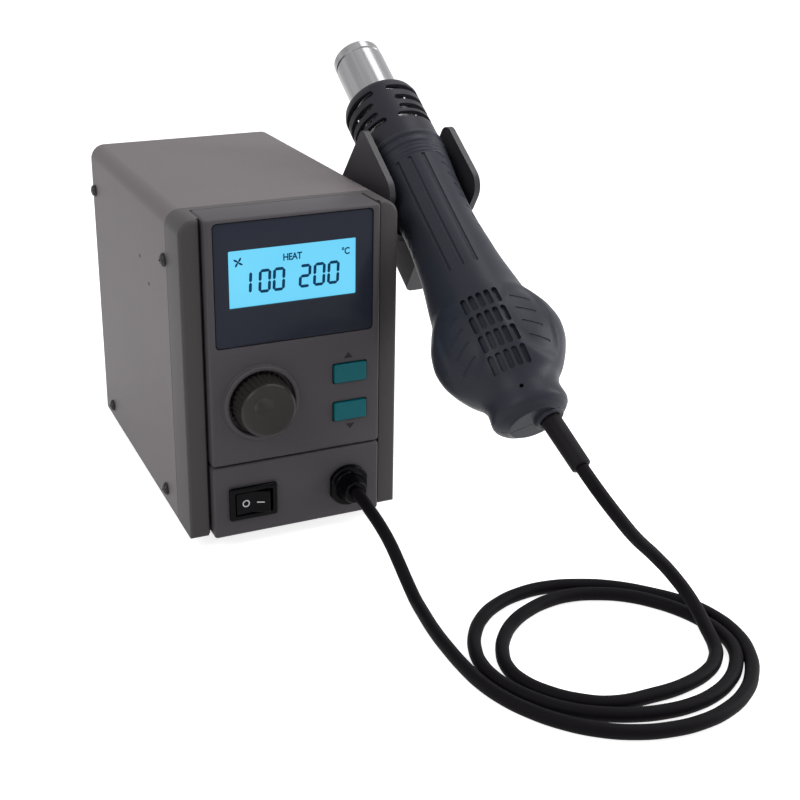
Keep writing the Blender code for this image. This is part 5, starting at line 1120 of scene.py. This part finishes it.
# Polished stainless steel: bright, with lengthwise polish marks about 3 mm apart with finer ones between,
# so that its highlight breaks into lines. The strong light and dark of these streaks in its colour is
# also painted reflection: painted bands of reflected light and shade along the barrel.
polished_steel, shader, polish_streaks_and_painted_reflection = metal("polished_stainless", "6b6a6c", "aeadb0", 0.16, 0.34, (320, 320, 8),
                                        handset)
bump = add_node(polished_steel, "Bump", {"Height": polish_streaks_and_painted_reflection, "Strength": 0.35, "Distance": 0.00003})
link(polished_steel, bump.outputs["Normal"], shader.inputs["Normal"])
bore = BARREL_RADIUS - BARREL_WALL
bead_end = BARREL_TIP - BEAD_LENGTH
profile = [(bore - 0.0004, BARREL_TIP - 0.0003), (bore - 0.0001, BARREL_TIP),
           (BARREL_RADIUS - 0.0008, BARREL_TIP)]
profile += fillet(BARREL_RADIUS - 0.0008, BARREL_TIP - 0.0006, 0.0006, 90, 0, 5)
profile += [(BARREL_RADIUS - 0.0002, bead_end), (BARREL_RADIUS - 0.0008, bead_end - 0.0005),
            (BARREL_RADIUS - 0.0008, bead_end - 0.0009), (BARREL_RADIUS, bead_end - 0.0015),
            (BARREL_RADIUS, 0.03), (BARREL_RADIUS, BARREL_FOOT), (bore, BARREL_FOOT),
            (bore, bead_end - 0.0022),
            (bore - 0.0008, bead_end - 0.0008)]
add_piece(lathe(profile, 128, True), "steel_barrel", polished_steel, "handset", "polished_steel", "barrel",
          place=handset)

# The sleeve keeps the cord from kinking where it leaves the handset. It is soft black rubber, and
# an arched lip of the shells grips it.
SLEEVE_X = 0.006
SLEEVE_RADIUS = 0.0043
SLEEVE_LENGTH = 0.0255
SLEEVE_PLUG = 0.005
SLEEVE_LEAN = -6.5
# Soft rubber: black and dull, a little greyer than the cord.
sleeve_rubber = moulded("sleeve_rubber", "110e11", "191619", 0.55, 0.0008, 0.00003, 0.1)
at_sleeve = handset @ shifted(SLEEVE_X, 0, -SHELL_END) @ turned(SLEEVE_LEAN, "Y")
profile = [(0, SLEEVE_PLUG), (SLEEVE_RADIUS, SLEEVE_PLUG), (SLEEVE_RADIUS, 0)]
profile += fillet(SLEEVE_RADIUS - 0.0009, -SLEEVE_LENGTH + 0.0007, 0.0007, 0, -90, 5) + [(0, -SLEEVE_LENGTH)]
add_piece(lathe(profile, 64), "rubber_sleeve", sleeve_rubber, "handset", "rubber_black", "strain_relief",
          place=at_sleeve)
lip = lathe([(SLEEVE_RADIUS + 0.0001, 0.0012), (SLEEVE_RADIUS + 0.0001, -0.0012)]
            + fillet(SLEEVE_RADIUS + 0.0012, -0.0008, 0.0008, -90, 0, 5)
            + [(SLEEVE_RADIUS + 0.0022, 0.0012)], 64, True)
add_piece(lip, "sleeve_lip", shell_plastic, "handset", "handset_slate", place=at_sleeve)

# The base and the rear panel are one folded sheet in the same enamel as the cover. The mains
# inlet is a nylon moulding with three pins, and a nylon nut holds the gland from inside.
def finish_nodes(material, *names):
    """Give solids that keep their own shape their material."""
    for name in names:
        nodes[name].data.materials.clear()
        nodes[name].data.materials.append(material)


finish_nodes(cover_enamel, "chassis_base")
finish_nodes(nylon, "mains_inlet", "gland_nut", "tact_switch_up", "tact_switch_down", "fan_duct")

# Inside, two boards of green glass-fibre laminate carry the electronics. Their lacquer is satin,
# and the weave below it, about 1 mm, shows as a faint drift of shade.
laminate = moulded("green_laminate", "1c4a2c", "255c37", 0.35, 0.001, 0.00002, 0.4)
finish_nodes(laminate, "control_board", "power_board")

# The bare metal parts: the transformer's stacked iron, the sensor, the shaft, the magnet and the
# motor's can in plated steel, the coil in enamelled copper wire, the heat sink in aluminium.
# Plated steel is cool and softly marked; copper wire is red-brown with a turn every 0.5 mm;
# extruded aluminium is pale, with lines along its fins.
finish_nodes(metal("plated_steel", "8c8e92", "b4b6ba", 0.25, 0.45, (600, 600, 600))[0],
             "knob_sensor", "knob_shaft", "holder_magnet", "fan_motor", "transformer_core")
finish_nodes(metal("copper_wire", "8a4a24", "b9683a", 0.25, 0.4, (60, 60, 2000))[0], "transformer_coil")
finish_nodes(metal("extruded_aluminium", "b9bbbe", "d3d5d8", 0.3, 0.45, (900, 40, 900))[0], "heat_sink")

# In the handset, the heater is a pierced ceramic core, the rest switch is a glass tube, and the
# fan's rotor is moulded in the shells' ABS.
# Fired alumina: off-white and matt. Glass: clear and dark, with a sharp highlight.
finish_nodes(moulded("fired_alumina", "d9d4c8", "e6e2d8", 0.7, 0.0006, 0.00003, 0.3), "heater_core")
finish_nodes(moulded("dark_glass", "1e2a26", "2a3832", 0.06, 0.002, 0.00001, 0.5), "reed_switch")
finish_nodes(guard_plastic, "fan_rotor")
